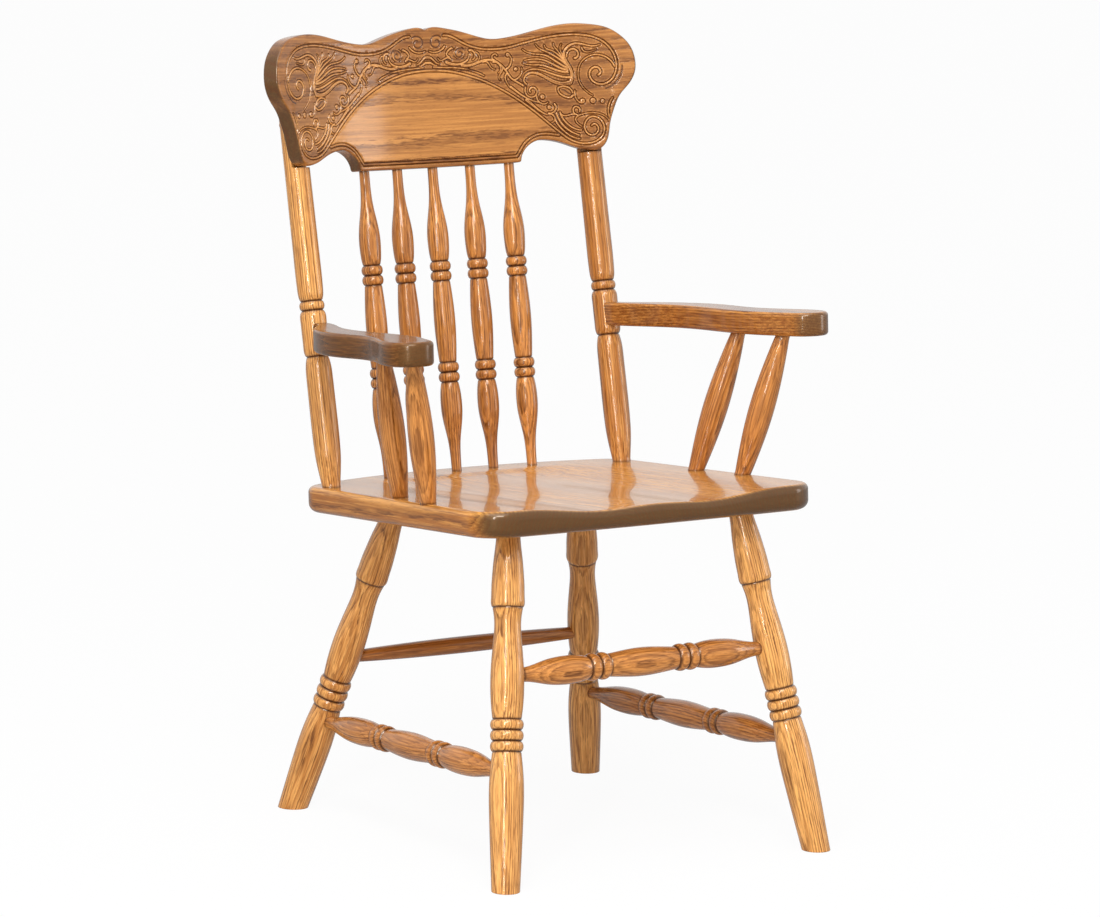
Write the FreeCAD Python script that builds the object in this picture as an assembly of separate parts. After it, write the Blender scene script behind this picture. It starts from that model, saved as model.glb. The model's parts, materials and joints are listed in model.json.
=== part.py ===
import FreeCAD, Part
import math
import os

# Press back armchair in oak: a saddled plank seat on four turned legs, a bent and
# scalloped crest rail on two turned posts and five spindles, and two shaped arms.
# Millimetres. The chair faces -Y, +X is on the right as seen from the front, and the
# floor is z = 0 with the origin under the middle of the chair.

V = FreeCAD.Vector
X_AXIS = V(1, 0, 0)
Z_AXIS = V(0, 0, 1)

# Fits shared by every glued joint
fit = 0.1                       # clearance all round a tenon, plug or screw
glue_gap = 1.0                  # room left beyond the end of a tenon
tenon_collar = 3.0              # tenon that shows outside a slanting mouth
overrun = 30.0                  # how far a cutting tool runs past what it cuts

# Seat plank
seat_front_height = 484.6       # top face at the front edge
seat_front_reach = 280.4        # front edge ahead of the middle of the chair
seat_tilt = 4.57                # degrees, the front is the higher end
seat_thickness = 34.5
seat_depth = 531.0              # front edge to the middle of the back edge
seat_half_width = 262.0         # at the front corners
seat_back_half_width = 255.5    # at the back corners
seat_front_bow = 7.0            # the front edge swells forward in its middle
seat_back_bow = 58.0            # the back edge swells backward in its middle
seat_front_corner = 49.0        # radius in plan
seat_back_corner = 50.0         # radius in plan
seat_top_round = 8.0            # rounded upper arris
seat_bottom_round = 12.0        # rounded lower arris

# Saddle hollowed in the seat
saddle_depth = 9.0
saddle_ridge = 2.6              # height left in the middle, between the thighs
saddle_half_width = 196.0
saddle_from_back = 66.0         # flat rim behind the hollow

# Legs: one turning for all four, cut off at the floor
leg_tenon_diameter = 31.0
leg_crown_diameter = 43.4
leg_groove_diameter = 39.6
leg_waist_diameter = 34.6
leg_swell_diameter = 43.6
leg_bead_diameter = 43.0
leg_bead_neck = 37.6
leg_bead_width = 14.0
leg_foot_swell_diameter = 45.2
leg_foot_diameter = 36.0
leg_crown_length = 120.0        # top end to the groove under the crown
leg_body_length = 143.0         # groove to the three beads
leg_foot_length = 190.0         # last bead to the untrimmed end
leg_bead_count = 3
front_leg_in_seat = 22.0
back_leg_in_seat = 15.0
front_leg_from_front = 81.0     # its place under the seat
front_leg_half_spacing = 181.0
back_leg_from_back = 121.0
back_leg_half_spacing = 148.5
front_foot_reach = 308.9        # its place on the floor
front_foot_half_spacing = 243.4
back_foot_inside = 17.312        # ahead of the back edge of the seat
back_foot_half_spacing = 236.9

# Stretchers, each a turning between two legs
stretcher_tenon_length = 17.0
front_stretcher_height = 264.3
front_stretcher_end = 18.5
front_stretcher_swell = 37.4
front_stretcher_barrel = 37.6
front_stretcher_neck = 29.5
front_stretcher_bead_diameter = 36.0
front_stretcher_bead_width = 15.5
front_stretcher_bead_spacing = 137.0
side_stretcher_front_height = 145.0
side_stretcher_back_height = 122.0
side_stretcher_end = 17.5
side_stretcher_swell = 35.8
side_stretcher_barrel = 36.2
side_stretcher_neck = 28.5
side_stretcher_bead_diameter = 35.0
side_stretcher_bead_width = 15.0
side_stretcher_bead_spacing = 147.0
back_stretcher_height = 211.0
back_stretcher_end = 16.5
back_stretcher_middle = 23.0
stretcher_bead_count = 2

# Crest rail, a board bent in plan and leaning back
crest_thickness = 22.0
crest_bend_radius = 553.0       # of its front face
crest_lean = 10.4               # degrees
crest_height = 190.2            # lower edge to the highest point
crest_half_length = 298.0       # along the bend
crest_bottom_height = 851.8     # middle of the lower edge above the floor
crest_behind_seat = 23.488      # middle of the lower edge behind the back edge of the seat
crest_notch_half_length = 129.0 # half of the straight lower edge, along the bend
crest_arris_round = 3.0

# Back posts
post_half_spacing = 231.8       # on the seat
post_from_back = 97.0           # on the seat
post_top_half_spacing = 233.0   # behind the crest rail
post_behind_crest = 3.0         # post axis behind the back face of the crest rail
post_lap_length = 82.0          # length of post that carries the crest rail
post_foot_diameter = 25.0
post_swell_diameter = 36.0
post_groove_diameter = 28.8
post_block_diameter = 35.0
post_ring_diameter = 33.6
post_ring_neck = 29.0
post_ring_width = 12.5
post_shaft_diameter = 35.0
post_head_diameter = 34.0
post_swell_length = 174.0       # seat to the groove under the arm
post_block_length = 61.5        # groove to the ring
post_tenon_length = 22.0

# Back spindles
spindle_count = 5
spindle_foot_pitch = 57.3
spindle_top_pitch = 57.0        # along the bend of the crest rail
spindle_from_back = 41.6        # the middle one, on the seat
spindle_row_radius = 618.0      # the row of feet is bent in plan
spindle_end_diameter = 13.6
spindle_swell_diameter = 29.0
spindle_neck_diameter = 23.2
spindle_bead_diameter = 28.7
spindle_bead_width = 13.5
spindle_bead_count = 2
spindle_foot_length = 120.5     # seat to the lower beads
spindle_head_length = 126.5     # upper beads to the crest rail
spindle_tenon_length = 18.0

# Arms
arm_thickness = 31.5
arm_height_on_post = 188.0      # seat to the underside, along the post
arm_length = 390.0              # post axis to the front end
arm_spread = 106.5              # post axis to the outermost edge
arm_arris_round = 5.0

# Arm spindles
arm_spindle_from_front = (167.5, 257.5)   # on the seat, front one and rear one
arm_spindle_half_spacing = (247.0, 233.7) # on the seat
arm_spindle_on_arm = (335.0, 246.5)       # ahead of the post axis
arm_spindle_out_on_arm = (56.7, 46.8)     # outward of the post axis
arm_spindle_foot_diameter = 21.5
arm_spindle_swell_diameter = 33.6
arm_spindle_head_diameter = 19.0
arm_spindle_tenon_length = 18.0

# Screws driven from behind the posts, each under a wood plug
plug_diameter = 9.5
plug_depth = 5.0
plug_crown = 1.0
screw_head_diameter = 8.6
screw_head_length = 3.0
screw_diameter = 4.4
screw_point_length = 6.0
crest_screw_length = 26.0
crest_screw_heights = (22.0, 58.0)        # above the lowest edge of the crest rail
arm_screw_length = 60.0

# Half of the scalloped outline of the crest rail, from the nick in the middle of the
# top, round the ear and the lower lobe, to the end of the straight lower edge:
# shares of the half length and of the height
crest_outline_shares = (
    (0.000, 0.980), (0.034, 0.999), (0.094, 0.991), (0.168, 0.966), (0.247, 0.928),
    (0.327, 0.896), (0.396, 0.898), (0.510, 0.927), (0.621, 0.961), (0.728, 0.971),
    (0.805, 0.957), (0.881, 0.925), (0.945, 0.856), (0.983, 0.780), (1.000, 0.692),
    (0.998, 0.604), (0.964, 0.507), (0.921, 0.437), (0.888, 0.339), (0.864, 0.231),
    (0.853, 0.149), (0.833, 0.087), (0.799, 0.052), (0.760, 0.053), (0.708, 0.073),
    (0.638, 0.118), (0.570, 0.146), (0.527, 0.149), (0.483, 0.124), (0.450, 0.074),
)
crest_lobe_share = 0.048        # lowest point of the lobe, of the height

# Plan of an arm: shares of the spread outward and of the length forward
arm_outline_shares = (
    (0.10, 0.000), (0.10, 0.050), (0.30, 0.130), (0.51, 0.215), (0.70, 0.350),
    (0.74, 0.470), (0.71, 0.590), (0.76, 0.700), (0.90, 0.800), (1.00, 0.895),
    (0.95, 0.965), (0.73, 1.000), (0.51, 0.975), (0.40, 0.905), (0.29, 0.810),
    (0.24, 0.700), (0.25, 0.560), (0.27, 0.440), (0.22, 0.310), (0.09, 0.205),
    (-0.05, 0.110), (-0.10, 0.050), (-0.10, 0.000),
)
arm_screw_share = 0.40          # outward for each unit forward, along the rear of the arm

# Saddle sections: how far back from the front edge, as shares of its run, with the
# depth and the width there as shares of the full ones
saddle_section_shares = (
    (-0.10, 1.00, 0.96), (0.20, 1.00, 0.98), (0.50, 1.00, 1.00), (0.75, 0.92, 0.98),
    (0.92, 0.55, 0.86), (1.00, 0.05, 0.62),
)
saddle_hollow_share = 0.48      # place of the deepest line, of the half width
saddle_edge_share = 0.84        # place where the side of the hollow eases off
saddle_edge_depth_share = 0.30  # depth there

# Turned outlines: shares of the stretch they stand in, each with the share of the way
# from the smaller diameter to the larger one
crown_shares = ((0.20, 0.20), (0.38, 0.54), (0.55, 0.77), (0.72, 0.94), (0.88, 1.00), (0.97, 0.93))
body_shares = ((0.06, 0.20), (0.13, 0.00), (0.26, 0.16), (0.44, 0.66), (0.64, 1.00), (0.84, 0.84))
foot_shares = ((0.06, 0.34), (0.16, 0.80), (0.30, 1.00), (0.46, 0.82), (0.65, 0.48), (0.84, 0.10))
post_swell_shares = (
    (0.10, 0.42), (0.20, 0.77), (0.31, 0.94), (0.47, 1.00), (0.66, 0.97), (0.83, 0.94), (0.93, 0.80),
)
post_block_shares = ((0.04, 0.50), (0.10, 0.84), (0.25, 0.96), (0.50, 0.98), (0.78, 1.00), (0.92, 0.84))
post_shaft_shares = ((0.03, 0.60), (0.08, 0.90), (0.35, 1.00), (0.75, 0.90))
spindle_foot_shares = (
    (0.18, 0.06), (0.31, 0.21), (0.42, 0.46), (0.54, 0.77), (0.66, 0.97), (0.78, 1.00), (0.90, 0.88),
)
spindle_waist_shares = ((0.20, 0.60), (0.50, 1.00), (0.80, 0.60))
spindle_head_shares = (
    (0.05, 0.80), (0.15, 0.95), (0.26, 1.00), (0.38, 0.88), (0.49, 0.63), (0.60, 0.34), (0.72, 0.12),
    (0.85, 0.02),
)
stretcher_end_shares = ((0.15, 0.18), (0.40, 0.76), (0.64, 1.00), (0.87, 0.88))
stretcher_barrel_shares = ((0.20, 0.55), (0.50, 1.00), (0.80, 0.55))
arm_spindle_shares = ((0.20, 0.62), (0.44, 1.00), (0.70, 0.74))

os.makedirs("parts", exist_ok=True)
nodes = {}


def keep(name, shape):
    """Stores a finished piece under its node name."""
    nodes[name] = shape


# The frames that the pieces stand in

seat_frame = FreeCAD.Placement(
    V(0, -seat_front_reach, seat_front_height), FreeCAD.Rotation(X_AXIS, -seat_tilt)
)
seat_back_edge = seat_frame.multVec(V(0, seat_depth, 0))
crest_frame = FreeCAD.Placement(
    V(0, seat_back_edge.y + crest_behind_seat, crest_bottom_height),
    FreeCAD.Rotation(X_AXIS, -crest_lean),
)


def seat_point(x, from_front, depth):
    """Point at a depth under the flat top of the seat, measured back from its front edge."""
    return seat_frame.multVec(V(x, from_front, -depth))


def crest_local(along, up, depth):
    """Point in the crest rail's frame, at a depth behind its bent front face."""
    angle = along / crest_bend_radius
    radius = crest_bend_radius + depth
    return V(radius * math.sin(angle), radius * math.cos(angle) - crest_bend_radius, up)


def crest_point(along, up, depth):
    """The same point in the chair's frame."""
    return crest_frame.multVec(crest_local(along, up, depth))


def crest_backward(along):
    """Direction straight back through the crest rail."""
    angle = along / crest_bend_radius
    return crest_frame.Rotation.multVec(V(math.sin(angle), math.cos(angle), 0))


# Turning

class Turning:
    """Half outline of a turned piece, drawn from one end of its axis to the other."""

    def __init__(self, diameter, start):
        self.start = V(0, 0, start)
        self.tip = V(diameter / 2, 0, start)
        self.edges = [Part.LineSegment(self.start, self.tip).toShape()]

    def line(self, diameter, length):
        """Straight or tapered stretch."""
        tip = V(diameter / 2, 0, self.tip.z + length)
        self.edges.append(Part.LineSegment(self.tip, tip).toShape())
        self.tip = tip

    def swell(self, shares, smaller, larger, end_diameter, length):
        """Smooth stretch through places given as shares."""
        points = [self.tip]
        for place, size in shares:
            diameter = smaller + (larger - smaller) * size
            points.append(V(diameter / 2, 0, self.tip.z + length * place))
        tip = V(end_diameter / 2, 0, self.tip.z + length)
        points.append(tip)
        curve = Part.BSplineCurve()
        curve.interpolate(points)
        self.edges.append(curve.toShape())
        self.tip = tip

    def beads(self, diameter, neck, width, count):
        """Row of half round beads, neck to neck."""
        for _ in range(count):
            start = self.tip
            middle = V(diameter / 2, 0, start.z + width / 2)
            tip = V(neck / 2, 0, start.z + width)
            self.edges.append(Part.Arc(start, middle, tip).toShape())
            self.tip = tip

    def solid(self, place, direction):
        """Turns the outline and stands it on its axis."""
        end = V(0, 0, self.tip.z)
        self.edges.append(Part.LineSegment(self.tip, end).toShape())
        self.edges.append(Part.LineSegment(end, self.start).toShape())
        face = Part.Face(Part.Wire(self.edges))
        shape = face.revolve(V(0, 0, 0), Z_AXIS, 360)
        solid = Part.Solid(shape) if shape.ShapeType == "Shell" else shape
        solid.Placement = FreeCAD.Placement(place, FreeCAD.Rotation(Z_AXIS, direction))
        return solid


def bore(entry, direction, diameter, depth):
    """Hole for a tenon, from outside its mouth to just past the tenon's end."""
    inward = V(direction).normalize()
    start = entry - inward * overrun
    length = overrun + depth + glue_gap
    return Part.makeCylinder(diameter / 2 + fit, length, start, inward)


# Seat

def seat_blank():
    """Tilted plank with bowed front and back edges and rounded corners."""
    front = V(0, -seat_front_bow, 0)
    corner_right = V(seat_half_width, 0, 0)
    back_y = seat_depth - seat_front_bow - seat_back_bow
    back_right = V(seat_back_half_width, back_y, 0)
    back = V(0, back_y + seat_back_bow, 0)
    back_left = V(-seat_back_half_width, back_y, 0)
    corner_left = V(-seat_half_width, 0, 0)
    wire = Part.Wire([
        Part.Arc(corner_left, front, corner_right).toShape(),
        Part.LineSegment(corner_right, back_right).toShape(),
        Part.Arc(back_right, back, back_left).toShape(),
        Part.LineSegment(back_left, corner_left).toShape(),
    ])
    plank = Part.Face(wire).extrude(V(0, 0, -seat_thickness))
    middle_y = back_y / 2
    upright = [edge for edge in plank.Edges if is_upright(edge)]
    for is_front, radius in ((True, seat_front_corner), (False, seat_back_corner)):
        chosen = [edge for edge in upright if (edge.CenterOfMass.y < middle_y) == is_front]
        corners = matching_edges(plank, chosen)
        plank = plank.makeFillet(radius, corners)
    plank = plank.makeFillet(seat_top_round, edges_at(plank, 0))
    plank = plank.makeFillet(seat_bottom_round, edges_at(plank, -seat_thickness))
    plank.translate(V(0, seat_front_bow, 0))
    return plank


def is_upright(edge):
    """True for an edge along Z."""
    ends = [vertex.Point for vertex in edge.Vertexes]
    return len(ends) == 2 and (ends[1] - ends[0]).cross(Z_AXIS).Length < fit


def matching_edges(shape, wanted):
    """The edges of a changed shape that lie where the wanted ones did."""
    places = [edge.CenterOfMass for edge in wanted]
    return [
        edge for edge in shape.Edges
        if any((edge.CenterOfMass - place).Length < fit for place in places)
    ]


def edges_at(shape, height):
    """The edges that lie flat at one height."""
    box_of = [(edge, edge.BoundBox) for edge in shape.Edges]
    return [
        edge for edge, box in box_of
        if abs(box.ZMin - height) < fit and abs(box.ZMax - height) < fit
    ]


def saddle_tool():
    """Solid that hollows the seat: a loft through sections across it."""
    run = seat_depth - saddle_from_back
    sections = []
    for place, deep, wide in saddle_section_shares:
        y = run * place
        depth = saddle_depth * deep
        half = saddle_half_width * wide
        ridge = (saddle_depth - saddle_ridge) * deep
        eased = depth * saddle_edge_depth_share
        right = [
            V(half * saddle_hollow_share, y, -depth),
            V(half * saddle_edge_share, y, -eased),
            V(half, y, 0),
        ]
        left = [V(-point.x, point.y, point.z) for point in reversed(right)]
        curve = Part.BSplineCurve()
        curve.interpolate(left + [V(0, y, -ridge)] + right)
        lid = Part.makePolygon([
            V(half, y, 0), V(half, y, overrun), V(-half, y, overrun), V(-half, y, 0)
        ])
        sections.append(Part.Wire([curve.toShape()] + lid.Edges))
    return Part.makeLoft(sections, True)


def make_seat(bores):
    """The saddled plank with its tenon holes."""
    seat = seat_blank().cut(saddle_tool())
    seat.Placement = seat_frame
    for hole in bores:
        seat = seat.cut(hole)
    keep("seat", seat.Solids[0])


# Legs and stretchers

def leg_ends(side, is_front):
    """Where a leg's axis meets the underside of the seat and the floor."""
    if is_front:
        top = seat_point(side * front_leg_half_spacing, front_leg_from_front, seat_thickness)
        foot = V(side * front_foot_half_spacing, -front_foot_reach, 0)
        return top, foot, front_leg_in_seat
    from_front = seat_depth - back_leg_from_back
    top = seat_point(side * back_leg_half_spacing, from_front, seat_thickness)
    foot = V(side * back_foot_half_spacing, seat_back_edge.y - back_foot_inside, 0)
    return top, foot, back_leg_in_seat


def leg_axis_at(side, is_front, height):
    """Point on a leg's axis at a height above the floor."""
    top, foot, _ = leg_ends(side, is_front)
    return foot + (top - foot) * (height / top.z)


def make_leg(side, is_front, bores):
    """Turned leg, from its end in the seat down to the floor."""
    top, foot, in_seat = leg_ends(side, is_front)
    down = (foot - top).normalize()
    outline = Turning(leg_tenon_diameter, 0)
    outline.line(leg_tenon_diameter, front_leg_in_seat)
    outline.swell(
        crown_shares, leg_tenon_diameter, leg_crown_diameter, leg_groove_diameter,
        leg_crown_length - front_leg_in_seat,
    )
    outline.swell(
        body_shares, leg_waist_diameter, leg_swell_diameter, leg_bead_neck, leg_body_length
    )
    outline.beads(leg_bead_diameter, leg_bead_neck, leg_bead_width, leg_bead_count)
    outline.swell(
        foot_shares, leg_bead_neck, leg_foot_swell_diameter, leg_foot_diameter, leg_foot_length
    )
    leg = outline.solid(top - down * in_seat, down)
    reach = seat_depth + leg_foot_length
    floor = Part.makeBox(2 * reach, 2 * reach, leg_foot_length, V(-reach, -reach, -leg_foot_length))
    leg = leg.cut(floor)
    for hole in bores:
        leg = leg.cut(hole)
    keep("leg_%s_%s" % ("front" if is_front else "back", "left" if side < 0 else "right"), leg.Solids[0])
    return bore(top, -down, leg_tenon_diameter, in_seat)


def turned_stretcher(start, end, sizes):
    """Stretcher with a pair of bead groups, between two points on leg axes."""
    end_diameter, swell, barrel, neck, bead, bead_width, spacing = sizes
    inset = leg_swell_diameter / 2 - stretcher_tenon_length
    length = (end - start).Length - 2 * inset
    group = bead_width * stretcher_bead_count
    taper = (length - spacing - group) / 2 - stretcher_tenon_length
    outline = Turning(end_diameter, 0)
    outline.line(end_diameter, stretcher_tenon_length)
    outline.swell(stretcher_end_shares, end_diameter, swell, neck, taper)
    outline.beads(bead, neck, bead_width, stretcher_bead_count)
    outline.swell(stretcher_barrel_shares, neck, barrel, neck, spacing - group)
    outline.beads(bead, neck, bead_width, stretcher_bead_count)
    mirrored = [(1 - place, size) for place, size in reversed(stretcher_end_shares)]
    outline.swell(mirrored, end_diameter, swell, end_diameter, taper)
    outline.line(end_diameter, stretcher_tenon_length)
    along = (end - start).normalize()
    return outline.solid(start + along * inset, along)


def plain_stretcher(start, end):
    """Dowel, thicker in the middle."""
    inset = leg_swell_diameter / 2 - stretcher_tenon_length
    length = (end - start).Length - 2 * inset
    middle = back_stretcher_middle / 2
    outline = Turning(back_stretcher_end, 0)
    outline.line(back_stretcher_end, stretcher_tenon_length)
    taper = Part.Arc(
        outline.tip, V(middle, 0, length / 2),
        V(outline.tip.x, 0, length - stretcher_tenon_length),
    )
    outline.edges.append(taper.toShape())
    outline.tip = V(outline.tip.x, 0, length - stretcher_tenon_length)
    outline.line(back_stretcher_end, stretcher_tenon_length)
    along = (end - start).normalize()
    return outline.solid(start + along * inset, along)


def stretcher_bores(start, end, diameter):
    """The two blind holes of a stretcher, first the one at its start."""
    along = (end - start).normalize()
    outside = leg_swell_diameter / 2
    return (
        bore(start + along * outside, -along, diameter, stretcher_tenon_length),
        bore(end - along * outside, along, diameter, stretcher_tenon_length),
    )


def make_underframe():
    """Stretchers, and the legs bored for them. Returns the holes for the seat."""
    bores = {(side, is_front): [] for side in (-1, 1) for is_front in (True, False)}
    front_sizes = (
        front_stretcher_end, front_stretcher_swell, front_stretcher_barrel,
        front_stretcher_neck, front_stretcher_bead_diameter, front_stretcher_bead_width,
        front_stretcher_bead_spacing,
    )
    side_sizes = (
        side_stretcher_end, side_stretcher_swell, side_stretcher_barrel,
        side_stretcher_neck, side_stretcher_bead_diameter, side_stretcher_bead_width,
        side_stretcher_bead_spacing,
    )
    for side, name in ((-1, "left"), (1, "right")):
        start = leg_axis_at(side, True, side_stretcher_front_height)
        end = leg_axis_at(side, False, side_stretcher_back_height)
        keep("stretcher_" + name, turned_stretcher(start, end, side_sizes))
        at_front, at_back = stretcher_bores(start, end, side_stretcher_end)
        bores[side, True].append(at_front)
        bores[side, False].append(at_back)
    start = leg_axis_at(-1, True, front_stretcher_height)
    end = leg_axis_at(1, True, front_stretcher_height)
    keep("stretcher_front", turned_stretcher(start, end, front_sizes))
    at_left, at_right = stretcher_bores(start, end, front_stretcher_end)
    bores[-1, True].append(at_left)
    bores[1, True].append(at_right)
    start = leg_axis_at(-1, False, back_stretcher_height)
    end = leg_axis_at(1, False, back_stretcher_height)
    keep("stretcher_back", plain_stretcher(start, end))
    at_left, at_right = stretcher_bores(start, end, back_stretcher_end)
    bores[-1, False].append(at_left)
    bores[1, False].append(at_right)
    return [make_leg(side, is_front, holes) for (side, is_front), holes in bores.items()]


# Crest rail and what carries it

def crest_outline(depth):
    """The scalloped outline on the bent face at one depth."""
    edges = []
    for side in (-1, 1):
        points = [
            crest_local(side * crest_half_length * along, crest_height * up, depth)
            for along, up in crest_outline_shares[:-1]
        ]
        points.append(crest_local(side * crest_notch_half_length, 0, depth))
        curve = Part.BSplineCurve()
        curve.interpolate(points)
        edges.append(curve.toShape())
    corners = [crest_local(side * crest_notch_half_length, 0, depth) for side in (-1, 1)]
    edges.append(Part.Arc(corners[0], crest_local(0, 0, depth), corners[1]).toShape())
    return edges


def bent_board(front_depth, back_depth, bottom, top):
    """Slice of a ring that holds the crest rail, in its own frame."""
    centre = V(0, -crest_bend_radius, bottom)
    outer = Part.makeCylinder(crest_bend_radius + back_depth, top - bottom, centre)
    inner = Part.makeCylinder(crest_bend_radius + front_depth, top - bottom, centre)
    half = crest_bend_radius + back_depth
    sagitta = crest_bend_radius - crest_bend_radius * math.cos(crest_half_length / crest_bend_radius)
    window = Part.makeBox(
        2 * half, sagitta + overrun + back_depth + overrun, top - bottom,
        V(-half, -sagitta - overrun, bottom),
    )
    return outer.cut(inner).common(window)


def make_crest(bores):
    """Bent rail with its outline sawn square to the bend and its arrises eased."""
    fences = zip(crest_outline(-overrun), crest_outline(crest_thickness + overrun))
    fence = Part.Shell([Part.makeRuledSurface(near, far).Faces[0] for near, far in fences])
    board = bent_board(0, crest_thickness, -overrun, crest_height + overrun)
    pieces, _ = board.generalFuse([fence])
    inside = crest_local(0, crest_height / 2, crest_thickness / 2)
    crest = next(piece for piece in pieces.Solids if piece.isInside(inside, fit, False))
    arrises = [edge for edge in crest.Edges if edge.Length > crest_height]
    crest = crest.makeFillet(crest_arris_round, arrises)
    crest.Placement = crest_frame
    for hole in bores:
        crest = crest.cut(hole)
    keep("crest_rail", crest.Solids[0])


def post_along_crest():
    """Where a post stands along the bend of the crest rail."""
    radius = crest_bend_radius + crest_thickness + post_behind_crest
    return crest_bend_radius * math.asin(post_top_half_spacing / radius)


def post_ends(side):
    """Post axis on the seat, and at the lowest edge of the crest rail."""
    foot = seat_point(side * post_half_spacing, seat_depth - post_from_back, 0)
    head = crest_point(
        side * post_along_crest(), crest_height * crest_lobe_share,
        crest_thickness + post_behind_crest,
    )
    return foot, head


def post_outline(length):
    """Turned outline of a post with its tenon and its lap."""
    shaft = length - post_swell_length - post_block_length - post_ring_width
    outline = Turning(post_foot_diameter, -post_tenon_length)
    outline.line(post_foot_diameter, post_tenon_length + tenon_collar)
    outline.swell(
        post_swell_shares, post_foot_diameter, post_swell_diameter, post_groove_diameter,
        post_swell_length - tenon_collar,
    )
    outline.swell(
        post_block_shares, post_groove_diameter, post_block_diameter, post_ring_neck,
        post_block_length,
    )
    outline.beads(post_ring_diameter, post_ring_neck, post_ring_width, 1)
    outline.swell(
        post_shaft_shares, post_ring_neck, post_shaft_diameter, post_head_diameter, shaft
    )
    outline.line(post_head_diameter, post_lap_length)
    return outline


def make_post(side, bores):
    """Turned post, flattened in front where it carries the crest rail."""
    foot, head = post_ends(side)
    up = (head - foot).normalize()
    post = post_outline((head - foot).Length).solid(foot, up)
    lap = bent_board(
        -overrun, crest_thickness + fit, crest_height * crest_lobe_share - fit,
        crest_height + overrun,
    )
    lap.Placement = crest_frame
    post = post.cut(lap)
    for hole in bores:
        post = post.cut(hole)
    keep("post_" + ("left" if side < 0 else "right"), post.Solids[0])
    return bore(foot, -up, post_foot_diameter, post_tenon_length)


def spindle_foot(index):
    """Middle of a spindle's foot on the seat."""
    x = spindle_foot_pitch * index
    drop = spindle_row_radius - math.sqrt(spindle_row_radius ** 2 - x ** 2)
    return seat_point(x, seat_depth - spindle_from_back - drop, 0)


def make_spindle(name, foot, head):
    """Turned spindle with two pairs of beads. Returns its two holes."""
    up = (head - foot).normalize()
    length = (head - foot).Length
    beads = spindle_bead_width * spindle_bead_count
    waist = length - spindle_foot_length - spindle_head_length - 2 * beads
    outline = Turning(spindle_end_diameter, -spindle_tenon_length)
    outline.line(spindle_end_diameter, spindle_tenon_length + tenon_collar)
    outline.swell(
        spindle_foot_shares, spindle_end_diameter, spindle_swell_diameter,
        spindle_neck_diameter, spindle_foot_length - tenon_collar,
    )
    outline.beads(spindle_bead_diameter, spindle_neck_diameter, spindle_bead_width, spindle_bead_count)
    outline.swell(
        spindle_waist_shares, spindle_neck_diameter, spindle_swell_diameter,
        spindle_neck_diameter, waist,
    )
    outline.beads(spindle_bead_diameter, spindle_neck_diameter, spindle_bead_width, spindle_bead_count)
    outline.swell(
        spindle_head_shares, spindle_end_diameter, spindle_swell_diameter,
        spindle_end_diameter, spindle_head_length - tenon_collar,
    )
    outline.line(spindle_end_diameter, tenon_collar + spindle_tenon_length)
    keep(name, outline.solid(foot, up))
    return (
        bore(foot, -up, spindle_end_diameter, spindle_tenon_length),
        bore(head, up, spindle_end_diameter, spindle_tenon_length),
    )


# Arms

def arm_frame(side):
    """Frame of an arm: on the post axis at the underside, level with the seat."""
    foot, head = post_ends(side)
    up = (head - foot).normalize()
    return FreeCAD.Placement(foot + up * arm_height_on_post, seat_frame.Rotation)


def arm_point(side, outward, forward, height):
    """Point on an arm, from the post axis."""
    return arm_frame(side).multVec(V(side * outward, -forward, height))


def make_arm(side, bores):
    """Shaped arm, coped round the front of its post."""
    foot, head = post_ends(side)
    up = (head - foot).normalize()
    points = [
        V(side * arm_spread * outward, -arm_length * forward, 0)
        for outward, forward in arm_outline_shares
    ]
    curve = Part.BSplineCurve()
    curve.interpolate(points)
    closing = Part.LineSegment(points[-1], points[0]).toShape()
    arm = Part.Face(Part.Wire([curve.toShape(), closing])).extrude(V(0, 0, arm_thickness))
    rims = [edge for edge in arm.Edges if edge.Length > arm_length]
    arm = arm.makeFillet(arm_arris_round, rims)
    arm.Placement = arm_frame(side)
    cope = Part.makeCylinder(post_block_diameter / 2 + 3 * fit, (head - foot).Length, foot, up)
    arm = arm.cut(cope)
    for hole in bores:
        arm = arm.cut(hole)
    arm = max(arm.Solids, key=lambda piece: piece.Volume)
    keep("arm_" + ("left" if side < 0 else "right"), arm)


def make_arm_spindle(side, index):
    """Turned spindle between the seat and an arm. Returns its two holes."""
    foot = seat_point(side * arm_spindle_half_spacing[index], arm_spindle_from_front[index], 0)
    head = arm_point(side, arm_spindle_out_on_arm[index], arm_spindle_on_arm[index], 0)
    up = (head - foot).normalize()
    outline = Turning(arm_spindle_foot_diameter, -arm_spindle_tenon_length)
    outline.line(arm_spindle_foot_diameter, arm_spindle_tenon_length + tenon_collar)
    outline.swell(
        arm_spindle_shares, arm_spindle_foot_diameter, arm_spindle_swell_diameter,
        arm_spindle_head_diameter, (head - foot).Length - 2 * tenon_collar,
    )
    outline.line(arm_spindle_head_diameter, tenon_collar + arm_spindle_tenon_length)
    place = "rear" if index else "front"
    keep("arm_spindle_%s_%s" % ("left" if side < 0 else "right", place), outline.solid(foot, up))
    return (
        bore(foot, -up, arm_spindle_foot_diameter, arm_spindle_tenon_length),
        bore(head, up, arm_spindle_head_diameter, arm_spindle_tenon_length),
    )


# Screws and plugs

def screw(head, inward, length):
    """Countersunk wood screw, from the face of its head."""
    outline = Turning(screw_head_diameter, 0)
    outline.line(screw_diameter, screw_head_length)
    outline.line(screw_diameter, length - screw_head_length - screw_point_length)
    outline.line(0, screw_point_length)
    outline.edges.append(Part.LineSegment(outline.tip, outline.start).toShape())
    face = Part.Face(Part.Wire(outline.edges))
    solid = face.revolve(V(0, 0, 0), Z_AXIS, 360)
    solid.Placement = FreeCAD.Placement(head, FreeCAD.Rotation(Z_AXIS, inward))
    return solid


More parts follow.
